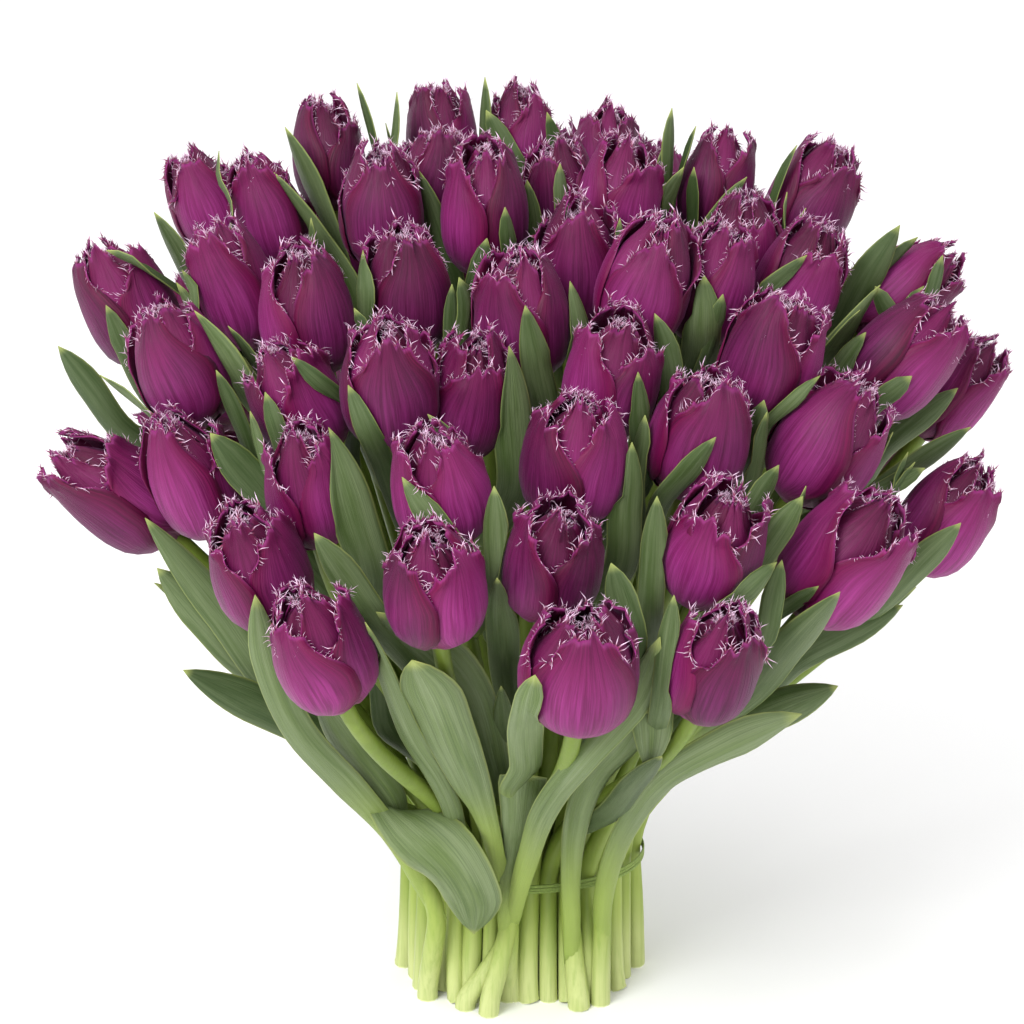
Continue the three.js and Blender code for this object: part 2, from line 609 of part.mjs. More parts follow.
// The way that the blade faces at each place but the tip, evened out along the rib.
function leafFacings(rib, twist, heads) {
  let facings = rib.slice(0, -1).map((point, k) =>
    leafFacing(point, ribDirection(rib, k), twist * Math.min(1, k / 2), heads));
  for (let round = 0; round < 3; round += 1) {
    facings = facings.map((facing, k) => {
      const even = facing.clone().add(facings[Math.max(k - 1, 0)]).add(facings[Math.min(k + 1, facings.length - 1)]);
      const along = ribDirection(rib, k);
      return even.addScaledVector(along, -even.dot(along)).normalize();
    });
  }
  return facings;
}

// A leaf faces outwards, and where it passes close to a head it lies along that head's surface.
function leafFacing(point, along, twist, heads) {
  const out = vec(point.x * 0.6, point.y - 60, 40).normalize();
  heads.forEach(({ centre, axis, width, length }) => {
    const offset = point.clone().sub(centre);
    const reach = offset.dot(axis);
    if (Math.abs(reach) > length * 0.6) return;
    const rest = offset.addScaledVector(axis, -reach);
    const closeness = 1 - (rest.length() - width / 2) / 9;
    if (closeness <= 0) return;
    out.addScaledVector(rest.normalize(), 2.5 * closeness * Math.sign(rest.dot(out) || 1));
  });
  const facing = out.addScaledVector(along, -out.dot(along)).normalize();
  return facing.applyAxisAngle(along, degToRad(twist));
}

// ---- band -----------------------------------------------------------------------------------------------------
// The band is a flat ring round the stems, stretched to their oval.
function bandGeometry(heads, grow = 0) {
  const places = heads.map(({ stem }) => stem.atBand);
  const size = Math.max(...places.map((p) => Math.hypot(p.x, p.y * BUNDLE_ASPECT)));
  const inner = size + STEM_R * 1.15 + CLEARANCE;
  const innerDeep = size / BUNDLE_ASPECT + STEM_R * 1.15 + CLEARANCE;
  const half = BAND_HEIGHT / 2 + grow;
  const outer = inner + BAND_THICK + grow;
  const section = [[inner - grow, -half], [outer, -half], [outer, half], [inner - grow, half], [inner - grow, -half]];
  const ring = new THREE.LatheGeometry(section.map(([r, h]) => new THREE.Vector2(r, h)), 22);
  ring.rotateX(Math.PI / 2);
  ring.scale(1, (innerDeep + BAND_THICK) / (inner + BAND_THICK), 1);
  return ring.translate(0, 0, BAND_Z);
}

// ---- assembly -------------------------------------------------------------------------------------------------
const PURPLE = { color: 0x7d1c66, roughness: 0.55, metalness: 0 };
const GREEN = { color: 0x66853f, roughness: 0.6, metalness: 0 };
const BAND_GREEN = { color: 0xa8b86a, roughness: 0.5, metalness: 0 };

function addMesh(group, name, geometry, look) {
  const mesh = new THREE.Mesh(geometry, new THREE.MeshStandardMaterial(look));
  mesh.name = name;
  group.add(mesh);
}

function layOutHeads() {
  const heads = [...FRONT_HEADS.map(frontHead), ...backHeads()];
  const bunches = bunchesOf(heads);
  settleHeads(heads, bunches);
  heads.forEach((head, k) => {
    head.roll = degToRad(between(-28, 28));
    [head.across, head.down] = FRONT_HEADS[k] ?? [];
  });
  takeSlots(heads, stemSlots(heads.length)).forEach((slot, k) => addStem(heads[k], slot));
  return { heads, bunches };
}

function layOutLeaves(heads) {
  const leaves = [
    ...FRONT_LEAVES.map((row) => frontLeaf(row, heads)),
    ...SHAPED_LEAVES.map((shape) => shapedLeaf(shape, heads)),
    ...BACK_LEAVES.flatMap((tier) => tier.bearings.map((bearing) => backLeaf(tier, bearing, heads))),
  ];
  leaves.forEach((leaf) => {
    leaf.facings = leafFacings(leaf.rib, between(-LEAF_TWIST, LEAF_TWIST), heads);
  });
  return leaves;
}

function addBlooms(group, heads, bunches) {
  const done = [];
  bunches.forEach((bunch) => {
    const numbers = bunch.map((k) => String(k + 1).padStart(2, "0"));
    const whole = cutBy(joined(bunch.map((k) => bloomSolid(heads[k]))), done);
    addMesh(group, `bloom_${numbers.join("_")}`, oneBody(whole), PURPLE);
    done.push(...bunch.map((k) => bloomSolid(heads[k], CLEARANCE)));
  });
  return done;
}

// Stems give way only to heads, the band and the stems of rows further in front; leaves give way to every stem.
function addLeafyStems(group, heads, leaves, blooms) {
  const band = toSolid(bandGeometry(heads, CLEARANCE));
  const rows = [...new Set(heads.map(({ stem }) => stem.row))].sort((a, b) => a - b);
  const taken = [...blooms, band];
  rows.forEach((row, k) => {
    const own = heads.filter(({ stem }) => stem.row === row);
    const others = heads.filter(({ stem }) => stem.row !== row).map((head) => stemSolid(head, CLEARANCE));
    const blades = leaves.filter((leaf) => leaf.row === row);
    const cutLeaves = blades.map((leaf) => largestBody(cutBy(leafSolid(leaf), [...taken, ...others])));
    const stems = own.map((head) => largestBody(cutBy(stemSolid(head), taken)));
    addMesh(group, `leafy_stems_row_${k + 1}`, oneBody(joined([...stems, ...cutLeaves])), GREEN);
    taken.push(...own.map((head) => stemSolid(head, CLEARANCE)));
    taken.push(...blades.map((leaf) => leafSolid(leaf, 1.5 * CLEARANCE)));
  });
}

function bouquet() {
  const group = new THREE.Group();
  const { heads, bunches } = layOutHeads();
  const leaves = layOutLeaves(heads);
  const blooms = addBlooms(group, heads, bunches);
  addLeafyStems(group, heads, leaves, blooms);
  addMesh(group, "band", bandGeometry(heads), BAND_GREEN);
  return group;
}

export default bouquet();
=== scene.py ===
"""A standing, tied bouquet of fringed tulips: petals with their fringe, leaves, stems and the tie, on a pale stage."""
import math
from collections import namedtuple

import bpy
import numpy as np
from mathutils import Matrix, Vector


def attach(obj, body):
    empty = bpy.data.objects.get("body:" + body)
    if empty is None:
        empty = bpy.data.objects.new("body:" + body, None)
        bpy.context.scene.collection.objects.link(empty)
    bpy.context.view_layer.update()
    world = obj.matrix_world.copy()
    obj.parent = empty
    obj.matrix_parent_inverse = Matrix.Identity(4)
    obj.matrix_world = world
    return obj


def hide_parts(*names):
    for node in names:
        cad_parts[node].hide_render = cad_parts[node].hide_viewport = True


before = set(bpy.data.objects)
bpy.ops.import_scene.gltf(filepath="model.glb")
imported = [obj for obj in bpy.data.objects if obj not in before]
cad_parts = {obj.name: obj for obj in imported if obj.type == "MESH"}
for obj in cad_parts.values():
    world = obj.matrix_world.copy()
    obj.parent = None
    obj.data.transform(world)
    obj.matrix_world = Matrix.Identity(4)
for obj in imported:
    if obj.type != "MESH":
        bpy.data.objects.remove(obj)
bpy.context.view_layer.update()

bl_info = {
    "name": "Fringed Tulip Bouquet",
    "version": (1, 0, 0),
    "blender": (4, 5, 0),
    "location": "3D View > Sidebar > Bouquet",
    "description": "Adds the blooms, leafy stems and tie of a bouquet of fringed tulips, and a plain stage",
    "category": "Add Mesh",
}

MM = 0.001
BODY = "root"

# ---- driving dimensions, in millimetres and degrees, the same as the solids' ------------------------------------
STEM_R = 4.1
STEM_NECK_R = 3.3  # where a stem meets its bloom
STEM_PITCH = (7.8, 9.4)  # between stems in a row, and between rows
SLOT_REACH = 12  # rows and columns of stem places tried on each side of the middle
SLOT_ROUNDS = 12
BUNDLE_ASPECT = 1.35  # the bundle's width against its depth
BUNDLE_SQUEEZE = 0.24  # how close the stems stand in it against their blooms
FOOT_SPREAD = (1.04, 1.12)  # of the cut ends, against the stems inside the tie
FOOT_SCATTER = 1.3
BAND_Z = 56
BAND_HEIGHT = 4
BAND_THICK = 1.6
LEAF_THICK = 1.6
LEAF_FOLD = 0.16  # how far a leaf's edges turn towards the stem, against its half width
LEAF_TWIST = 14
LEAF_DROP = 28  # a leaf leaves its stem this far below the lowest stretch that shows
LEAF_ROOT_WIDTH = 6
LEAF_ROOT_BELOW = 8  # a leaf's root is at least this far below what shows of it
LEAF_EDGE_GAP = 0.74  # between a leaf's edges and a head
BACK_LEAF_GAP = 3
LEAF_AHEAD = 8  # how far a leaf stands in front of the heads around it
LEAF_LOW_DEPTH = -44  # depth from which a leaf of a given tip depth starts
LOWEST_LEAF_ROOT = 68
CLEARANCE = 0.34
SEED = 7

# ---- dimensions of the looks alone, in millimetres ----------------------------------------------------------------
LEAF_OPEN = 0.8  # how far the front leaves turn their backs to the front
LEAF_MARGIN = 2.0  # kept between a blade and the blooms
LEAF_COLUMNS = 8
LEAF_ROWS = (12, 30)
LEAF_STEP = 5  # about, between rows
LEAF_ROLL, SHEATH_ROLL = 0.9, 1.35  # how far a blade curls round its stem at the root, in radians a side
SHEATH_SINK = 2.6  # how deep a sheath starts inside its stem
STEM_SIDES = 10
SHARP_ANGLE = math.radians(50)  # from which a stem's edge shows
STEM_BEND = 1.3  # the most that a stem bends sideways below the tie
SHEATH_SHARES = (0.92, 0.8, 0.66)  # a sheathed stem's thickness at the first places of its leaf
TIE_STEPS = 120
TIE_SIDES = 10
FULL_TURN = 6.283  # radians
ANY_PHASE = (0, 6.3)  # of a wave, in radians

# The front viewpoint: how far it stands from the middle, its angle above the horizon, the point it looks at, and the
# grid on which places are stated.
VIEW_DISTANCE = 1300
VIEW_ELEVATION = math.radians(20)
VIEW_HEIGHT = 208
VIEW_SIDE = -3.7
GRID_MIDDLE = 512
GRID_UNIT = 0.41

# Front heads: across and down in the grid, depth, lean to the right in degrees, width and length.
FRONT_HEADS = [
    (580, 668, -160, 4, 45, 52), (712, 664, -140, 17, 36, 50), (321, 650, -135, -20, 39, 52),
    (434, 586, -140, -5, 39, 50), (553, 562, -122, 10, 38, 50), (714, 546, -112, 17, 38, 53),
    (259, 568, -100, -19, 38, 54), (845, 558, -88, 35, 45, 60), (440, 487, -104, -10, 38, 50),
    (574, 458, -88, 6, 42, 54), (308, 488, -78, -10, 34, 52), (192, 475, -62, -21, 36, 56),
    (118, 492, -22, -52, 39, 60), (700, 436, -72, 14, 40, 54), (828, 442, -52, 33, 43, 58),
    (945, 518, -30, 32, 36, 52), (297, 402, -48, -28, 36, 50), (390, 385, -62, -3, 39, 52),
    (470, 396, -60, 8, 33, 54), (612, 375, -56, 12, 38, 52), (180, 366, -22, -20, 38, 54),
    (771, 358, -38, 20, 40, 52), (902, 358, -8, 42, 40, 56), (957, 390, 28, 38, 30, 50),
    (306, 314, -22, -8, 38, 54), (408, 290, -15, -6, 36, 52), (521, 318, -40, -2, 39, 54),
    (128, 305, 25, -26, 38, 54), (235, 288, 12, -18, 34, 54), (646, 283, -20, 16, 38, 56),
    (712, 284, -14, 12, 34, 52), (577, 264, 0, 0, 36, 54), (207, 203, 72, -22, 32, 46),
    (267, 215, 48, -18, 32, 50), (381, 208, 22, -3, 35, 52), (484, 210, 18, 0, 36, 56),
    (619, 198, 36, 10, 34, 50), (562, 195, 44, -6, 30, 46), (716, 185, 66, 10, 32, 46),
    (812, 200, 62, 24, 36, 52), (742, 252, 30, 4, 34, 48), (801, 280, 8, 24, 36, 52),
    (905, 292, 36, 50, 34, 52), (328, 155, 82, -6, 31, 48), (441, 138, 88, -2, 31, 46),
    (520, 140, 80, 0, 29, 46), (606, 158, 86, 6, 30, 44), (432, 183, 52, 4, 30, 46),
]
PRESSED_FRONT = [(18, 19), (30, 31), (33, 34), (12, 13), (7, 11), (17, 25), (15, 22), (37, 38), (41, 42)]

# Rows of pressed bunches at the back: reach, height, lean outwards, and each bunch's bearing and number of heads.
BACK_ROWS = [
    (118, 312, 20, [(-54, 2), (-18, 2), (18, 2), (54, 2)]),
    (146, 264, 34, [(-68, 2), (-34, 2), (0, 2), (34, 2), (68, 2)]),
    (156, 208, 48, [(-62, 3), (-20, 2), (20, 2), (62, 2)]),
]
BACK_HEAD_WIDTH = 40
BACK_HEAD_LENGTH = 52
BACK_HEAD_SPACING = 37
BACK_SCATTER = 7  # up and down
FRONT_TIP = 17  # how far a head tips forwards at the depth that follows
FRONT_TIP_DEPTH = 165
HEAD_ROLL = 28
CORE_SHARE = 0.93  # of two heads' half widths, the distance at which they press
PRESS = 2.5  # how deep two heads of a bunch press into each other
SETTLE_ROUNDS = 60
SETTLE_SHARE = 0.3

# Front leaves: the tip's and the lowest visible stretch's place in the grid, width, and for some the tip's depth.
FRONT_LEAVES = [
    (357, 83, 378, 165, 10), (397, 92, 390, 165, 9), (485, 77, 480, 160, 10), (486, 110, 520, 175, 10),
    (672, 108, 668, 185, 10), (285, 127, 335, 245, 15), (154, 212, 195, 290, 12), (273, 172, 350, 290, 14),
    (684, 167, 628, 255, 13), (900, 225, 835, 345, 15), (918, 237, 880, 275, 9), (808, 255, 715, 350, 13),
    (866, 332, 825, 390, 10), (912, 376, 875, 405, 9), (958, 388, 885, 450, 11), (971, 427, 880, 490, 10),
    (925, 468, 875, 495, 8), (961, 523, 885, 600, 13, -62), (903, 605, 800, 660, 13, -40),
    (840, 592, 740, 705, 16, -128), (777, 562, 715, 615, 10), (803, 496, 755, 565, 11), (779, 465, 745, 520, 9),
    (767, 412, 752, 495, 9), (716, 437, 660, 505, 9), (657, 496, 650, 610, 11), (632, 442, 620, 570, 14),
    (638, 372, 643, 480, 9), (509, 346, 515, 490, 16), (525, 305, 548, 425, 12), (570, 281, 582, 380, 12),
    (487, 238, 472, 300, 9), (527, 180, 532, 265, 10), (419, 171, 452, 285, 12), (364, 250, 368, 330, 9),
    (459, 277, 478, 335, 9), (192, 311, 262, 420, 16), (106, 305, 145, 390, 10), (58, 346, 120, 430, 13),
    (210, 433, 275, 510, 15), (326, 427, 372, 585, 18), (348, 385, 385, 470, 10), (402, 477, 460, 560, 11),
    (494, 486, 496, 590, 11), (314, 533, 375, 620, 13), (497, 578, 508, 695, 13, -142), (611, 563, 632, 640, 12),
    (674, 595, 662, 700, 9), (501, 686, 508, 775, 9, -116), (145, 518, 290, 700, 15, -70),
    (157, 568, 250, 665, 17, -60), (183, 670, 330, 740, 17, -75), (838, 686, 712, 738, 17, -80),
    (704, 275, 697, 370, 16), (645, 314, 672, 400, 12),
]

# Leaves whose line isn't straight: places along the rib from root to tip, then the widths at all but the tip.
SHAPED_LEAVES = [
    (((495, 885, -48), (485, 832, -70), (470, 790, -92), (450, 745, -113), (432, 700, -130), (412, 660, -142)),
     (8, 12, 17, 23, 25)),
    (((382, 802, -56), (408, 824, -68), (440, 853, -74), (470, 899, -66), (474, 934, -54)), (14, 24, 30, 26)),
    (((430, 925, -42), (398, 850, -54), (350, 790, -72), (300, 735, -92), (268, 665, -112), (255, 595, -128)),
     (9, 12, 14, 14, 13)),
    (((496, 950, -39), (505, 905, -48), (514, 860, -58), (520, 815, -80), (523, 784, -94), (525, 774, -97)),
     (7, 8, 11, 16, 20)),
    (((503, 930, -43), (523, 870, -66), (550, 803, -114), (592, 752, -144), (632, 705, -138), (660, 637, -150)),
     (8, 10, 11, 11, 13)),
    (((582, 965, -38), (573, 890, -50), (576, 830, -70), (594, 780, -98), (624, 745, -124), (650, 708, -134)),
     (9, 9, 11, 13, 14)),
    (((616, 712, -96), (634, 694, -116), (650, 694, -130), (653, 722, -133), (649, 773, -128)), (12, 16, 19, 16)),
    (((597, 960, -38), (603, 905, -46), (618, 850, -64), (642, 808, -88), (682, 772, -116), (740, 742, -122),
      (802, 714, -116)), (8, 9, 10, 12, 17, 19)),
    (((412, 850, -46), (392, 800, -58), (352, 748, -74), (316, 694, -92)), (9, 13, 17)),
    (((460, 850, -52), (452, 813, -70), (437, 780, -90), (410, 738, -110), (389, 687, -127), (365, 622, -141)),
     (8, 9, 9, 10, 9)),
    (((490, 800, -64), (482, 745, -86), (447, 668, -113), (376, 612, -120)), (10, 20, 22)),
    (((522, 800, -84), (526, 770, -112), (525, 735, -146), (529, 705, -170), (535, 675, -182)), (9, 13, 14, 12)),
]

# Shaped leaves that sheathe a stem which stands in front of the others: the stem's foot, half its thickness, and how
# much further than that it stands behind the leaf where the blade begins.
SHEATHED_STEMS = {
    0: (-5.5, -31.0, 4.0, 5.5), 2: (-39.5, -29.5, 4.4, 0), 3: (-23.5, -38.5, 4.3, 0), 4: (-13.5, -44.0, 4.3, 0),
    5: (24.5, -38.5, 4.6, 0), 7: (33.5, -34.5, 4.2, 0),
}
FOLDED_LEAF = 6  # the leaf whose upper half hangs down, and the way that half faces
FOLD_FACING = np.array((0.1, -1.0, 0.25))

# Leaves at the back, in tiers: reach and height of the tips, length that shows, width range, and bearings.
BACK_LEAVES = [
    (98, 352, 84, (12, 15), (-38, 0, 38)),
    (138, 304, 96, (14, 18), (-86, -51, -17, 17, 51, 86)),
    (158, 244, 100, (15, 20), (-86, -42, 0, 42, 86)),
    (156, 178, 104, (17, 22), (-88, -54, -18, 18, 54, 88)),
]

# Slim tips between the heads, too thin to count as solids: as the front leaves.
SLIM_LEAVES = [
    (696, 126, 678, 185, 7), (694, 167, 694, 225, 7), (747, 177, 705, 230, 7), (806, 208, 785, 250, 5),
    (924, 286, 900, 315, 5), (819, 586, 770, 620, 6), (825, 378, 775, 420, 7), (505, 207, 510, 265, 7),
    (560, 163, 562, 215, 6), (354, 308, 370, 345, 6), (452, 284, 450, 350, 6), (311, 218, 310, 265, 6),
    (228, 326, 270, 385, 7), (182, 270, 203, 310, 6), (250, 411, 265, 475, 6), (286, 356, 345, 405, 7),
    (427, 414, 465, 455, 6), (503, 545, 492, 640, 6, -95), (787, 192, 765, 270, 7), (943, 255, 930, 300, 6),
    (875, 286, 895, 325, 8), (265, 392, 287, 455, 8), (100, 375, 150, 415, 8),
    (547, 112, 565, 180, 7), (797, 145, 768, 215, 7), (224, 149, 232, 200, 6), (102, 250, 145, 270, 8),
    (860, 310, 825, 350, 8), (620, 218, 612, 300, 8), (216, 370, 245, 440, 8),
    (723, 294, 716, 325, 6), (764, 400, 748, 450, 9), (645, 415, 636, 470, 8), (915, 462, 890, 500, 8),
    (782, 560, 764, 640, 9), (806, 486, 792, 540, 8), (893, 432, 868, 470, 9), (662, 756, 604, 820, 12, -146),
    (779, 570, 766, 650, 9, -50), (374, 640, 386, 730, 9, -60), (908, 452, 893, 500, 9),
]


# ---- small helpers ----------------------------------------------------------------------------------------------
def vec(x, y, z):
    return np.array((x, y, z), float)


def unit(v):
    return v / max(1e-12, math.sqrt(float(np.dot(v, v))))


def units(vectors):
    """Vectors made 1 long, along the last axis of an array."""
    return vectors / np.maximum(1e-9, np.linalg.norm(vectors, axis=-1, keepdims=True))


def lerp(a, b, t):
    return a + (b - a) * t


def smooth(low, high, x):
    t = np.clip((x - low) / (high - low), 0, 1)
    return t * t * (3 - 2 * t)


def along_profile(profile, share):
    """What a list of pairs gives at shares of its length."""
    return np.interp(share, *zip(*profile))


def chance(seed):
    """A seeded stream of numbers from 0 to 1, the same as the solids' own."""
    state = seed
    while True:
        state = state * 16807 % 2147483647
        yield state / 2147483647


def eye_point():
    return vec(VIEW_SIDE, -VIEW_DISTANCE * math.cos(VIEW_ELEVATION),
               VIEW_HEIGHT + VIEW_DISTANCE * math.sin(VIEW_ELEVATION))


def sight_line(across, down):
    right = (across - GRID_MIDDLE) * GRID_UNIT / VIEW_DISTANCE
    up = (GRID_MIDDLE - down) * GRID_UNIT / VIEW_DISTANCE
    rise, run = math.sin(VIEW_ELEVATION), math.cos(VIEW_ELEVATION)
    return vec(right, run + up * rise, -rise + up * run)


def place_at(across, down, depth):
    eye, ray = eye_point(), sight_line(across, down)
    return eye + ray * ((depth - eye[1]) / ray[1])


# ---- layout of heads, stems and leaves --------------------------------------------------------------------------
class Head:
    """One bloom's place: its middle, the way its stem points, its size, and the side that it shows."""

    def __init__(self, centre, axis, width, length, facing, front, starts_bunch=False):
        self.centre, self.axis, self.width, self.length = centre, axis, width, length
        self.facing, self.front, self.starts_bunch = facing, front, starts_bunch
        self.across = self.down = None
        self.roll = 0.0
        self.leaves = 0


class Heads(list):
    """All heads, with their places also as arrays."""

    def gather(self):
        self.centres = np.array([h.centre for h in self])
        self.axes = np.array([h.axis for h in self])
        self.widths = np.array([h.width for h in self], float)
        self.lengths = np.array([h.length for h in self], float)


def front_head(row):
    across, down, depth, lean, width, length = row
    forward = math.radians(-depth / FRONT_TIP_DEPTH * FRONT_TIP)
    slant = math.tan(math.radians(lean)) * math.cos(VIEW_ELEVATION + forward)
    axis = unit(vec(slant, -math.sin(forward), math.cos(forward)))
    head = Head(place_at(across, down, depth), axis, width, length, vec(0, -1, 0), True)
    head.across, head.down = across, down
    return head


def back_heads(stream):
    heads = []
    for reach, height, lean, bunches in BACK_ROWS:
        for bearing, count in bunches:
            for k in range(count):
                turn = math.radians(bearing) + (k - (count - 1) / 2) * BACK_HEAD_SPACING / reach
                tilt = math.radians(lean)
                facing = vec(math.sin(turn), math.cos(turn), 0)
                centre = facing * reach + vec(0, 0, height + lerp(-BACK_SCATTER, BACK_SCATTER, next(stream)))
                axis = facing * math.sin(tilt) + vec(0, 0, math.cos(tilt))
                heads.append(Head(centre, axis, BACK_HEAD_WIDTH, BACK_HEAD_LENGTH, facing, False, k == 0))
    return heads


def bunches_of(heads):
    bunches = []
    for k, head in enumerate(heads):
        pressed = next((pair for pair in PRESSED_FRONT if pair[1] == k + 1), None)
        if pressed:
            next(b for b in bunches if b[0] == pressed[0] - 1).append(k)
        elif head.front or head.starts_bunch:
            bunches.append([k])
        else:
            bunches[-1].append(k)
    return bunches


def core_overlap(a, b):
    reach = (a.width + b.width) * 0.5
    balls = [[h.centre + h.axis * (k * (h.length - h.width) / 2 - 1) for k in (-1, 0, 1)] for h in (a, b)]
    gaps = np.linalg.norm(np.array(balls[0])[:, None] - np.array(balls[1])[None], axis=2)
    return reach * CORE_SHARE - float(gaps.min())


def settle_heads(heads, bunches):
    eye = eye_point()
    pressed = {(b[i], b[i + 1]) for b in bunches for i in range(len(b) - 1)}
    for _ in range(SETTLE_ROUNDS):
        for i, a in enumerate(heads):
            for j in range(i + 1, len(heads)):
                b = heads[j]
                far_apart = math.dist(a.centre, b.centre) > (a.width + b.width + a.length + b.length) / 2
                together = (i, j) in pressed
                if far_apart and not together:
                    continue
                overlap = core_overlap(a, b) - (PRESS if together else 0)
                if overlap <= 0 and not together:
                    continue
                near, far = (a, b) if a.centre[1] < b.centre[1] else (b, a)
                in_sight = a.front and b.front
                away = unit(near.centre - (eye if in_sight else far.centre))
                share = (-SETTLE_SHARE if in_sight else SETTLE_SHARE) * overlap
                if in_sight or not near.front:
                    near.centre = near.centre + away * share
                if in_sight or not far.front:
                    far.centre = far.centre - away * share


def stem_slots(count):
    slots = [((column + (0.5 if row % 2 else 0)) * STEM_PITCH[0], row * STEM_PITCH[1])
             for row in range(-SLOT_REACH, SLOT_REACH + 1) for column in range(-SLOT_REACH, SLOT_REACH + 1)]
    return sorted(slots, key=lambda s: math.hypot(s[0], s[1] * BUNDLE_ASPECT))[:count]


def take_slots(heads, slots):
    goals = [(h.centre[0] * BUNDLE_SQUEEZE, h.centre[1] / BUNDLE_ASPECT * BUNDLE_SQUEEZE) for h in heads]
    cost = [[(g[0] - s[0]) ** 2 + (g[1] - s[1]) ** 2 for s in slots] for g in goals]
    taken = list(range(len(slots)))
    for _ in range(SLOT_ROUNDS):
        for i in range(len(heads)):
            for j in range(len(heads)):
                a, b = taken[i], taken[j]
                if cost[i][b] + cost[j][a] < cost[i][a] + cost[j][b] - 1e-6:
                    taken[i], taken[j] = b, a
    return [slots[k] for k in taken]


def add_stem(head, slot, stream):
    stray = lerp(-FOOT_SCATTER, FOOT_SCATTER, next(stream)) if any(slot) else 0
    head.at_band = vec(slot[0], slot[1], BAND_Z)
    head.at_foot = vec(slot[0] * FOOT_SPREAD[0] + stray, slot[1] * FOOT_SPREAD[1], 0)
    top = head.centre - head.axis * (head.length / 2 + CLEARANCE)
    run = float(np.linalg.norm(head.at_band - top))
    way = unit(top - head.at_band)
    rise = unit(vec(0, 0, 1) + way * 0.35) * run * 0.27
    arrive = unit(head.axis + way * 0.6) * run * 0.3
    head.handles = (head.at_band, head.at_band + rise, top - arrive, top)
    head.row = round(slot[1] / STEM_PITCH[1])


def stem_point(head, t):
    """A place on a stem: from -1 at the foot to 0 inside the tie, and on to 1 under the bloom."""
    if t < 0:
        return head.at_band + (head.at_foot - head.at_band) * -t
    a, b, c, d = head.handles
    s = 1 - t
    return a * s ** 3 + b * 3 * s * s * t + c * 3 * s * t * t + d * t ** 3


def depth_among(across, down, heads):
    near, total, weight = 36, 0.0, 1e-9
    for head in heads:
        if head.front:
            share = math.exp(-((head.across - across) ** 2 + (head.down - down) ** 2) / (2 * near * near))
            total += share * head.centre[1]
            weight += share
    return total / weight - LEAF_AHEAD


def entry_depth(eye, sight, heads, margin):
    """Where a line of sight enters each head, taken as an ellipsoid that is larger by a margin."""
    def squash(v):
        along = (v * heads.axes).sum(1)
        rest = v - heads.axes * along[:, None]
        return (rest / (heads.widths / 2 + margin)[:, None]
                + heads.axes * (along / (heads.lengths / 2 + margin))[:, None])
    origin, way = squash(eye - heads.centres), squash(np.broadcast_to(sight, heads.centres.shape))
    a, b = (way * way).sum(1), (origin * way).sum(1)
    inside = b * b - a * ((origin * origin).sum(1) - 1)
    entry = eye[1] + sight[1] * (-b - np.sqrt(np.maximum(inside, 0))) / a
    return np.where(inside > 0, entry, np.inf)


def clear_depth(across, down, depth, heads, width):
    entries = entry_depth(eye_point(), unit(sight_line(across, down)), heads, 1.5 + width * 0.1)
    return min(depth, float(entries[heads.centres[:, 1] > depth - 2].min(initial=np.inf)))


OUTLINE = [(-0.06, 0), (0, 0.3), (0.07, 0.54), (0.36, 1.0), (0.76, 0.84), (1.03, 0.68), (1.06, 0)]
PETAL_EDGE = 1.03


def bloom_radius(share):
    return PETAL_EDGE * along_profile(OUTLINE, share)


def from_axes(point, heads, first=0):
    """How far a point is along each head's axis from its middle, its offset from that axis, and that offset's size."""
    offset = point - heads.centres[first:]
    along = (offset * heads.axes[first:]).sum(1)
    rest = offset - heads.axes[first:] * along[:, None]
    return along, rest, np.sqrt((rest * rest).sum(1))


def keep_clear(point, heads, margin):
    """A point is moved out of every head, straight away from that head's axis."""
    point = point.copy()
    for _ in range(4):
        first = 0
        while first < len(heads):
            along, rest, size = from_axes(point, heads, first)
            needed = bloom_radius(along / heads.lengths[first:] + 0.5) * heads.widths[first:] / 2
            inside = np.nonzero((needed > 0) & (size < needed + margin))[0]
            if not len(inside):
                break
            k = int(inside[0])
            point = point + unit(rest[k]) * (needed[k] + margin - size[k])
            first += k + 1
    return point


def leaf_facing(point, along, twist, heads):
    """A leaf faces outwards, and where it passes close to a head it lies along that head's surface."""
    out = unit(vec(point[0] * 0.6, point[1] - 60, 40))
    reach, rest, size = from_axes(point, heads)
    closeness = 1 - (size - heads.widths / 2) / 9
    for k in np.nonzero((np.abs(reach) <= heads.lengths * 0.6) & (closeness > 0))[0]:
        out = out + unit(rest[k]) * 2.5 * closeness[k] * (np.sign(rest[k] @ out) or 1)
    facing = unit(out - along * (out @ along))
    turn = math.radians(twist)
    return facing * math.cos(turn) + np.cross(along, facing) * math.sin(turn)


def settle_rib(rib, widths, heads):
    for _ in range(8):
        for k in range(1, len(rib)):
            middle = (rib[k] + rib[k - 1]) / 2
            shift = keep_clear(middle, heads, LEAF_THICK) - middle
            rib[k] = rib[k] + shift
            if k > 1:
                rib[k - 1] = rib[k - 1] + shift
            rib[k] = keep_clear(rib[k], heads, LEAF_THICK)
            if k < len(rib) - 1:
                clear_edges(rib, k, widths[k] / 2, heads)


def clear_edges(rib, k, half, heads):
    along = unit(rib[k + 1] - rib[k - 1])
    out = leaf_facing(rib[k], along, 0, heads)
    side = unit(np.cross(along, out))
    for reach in (-half, half):
        edge = rib[k] + side * reach - out * LEAF_FOLD * half
        rib[k] = rib[k] + (keep_clear(edge, heads, LEAF_EDGE_GAP) - edge) * 0.6


def stem_steps():
    """The places on a stem where a leaf can grow, added up as the solids' own are."""
    step = -0.8
    while step < 0.75:
        yield step
        step += 0.03


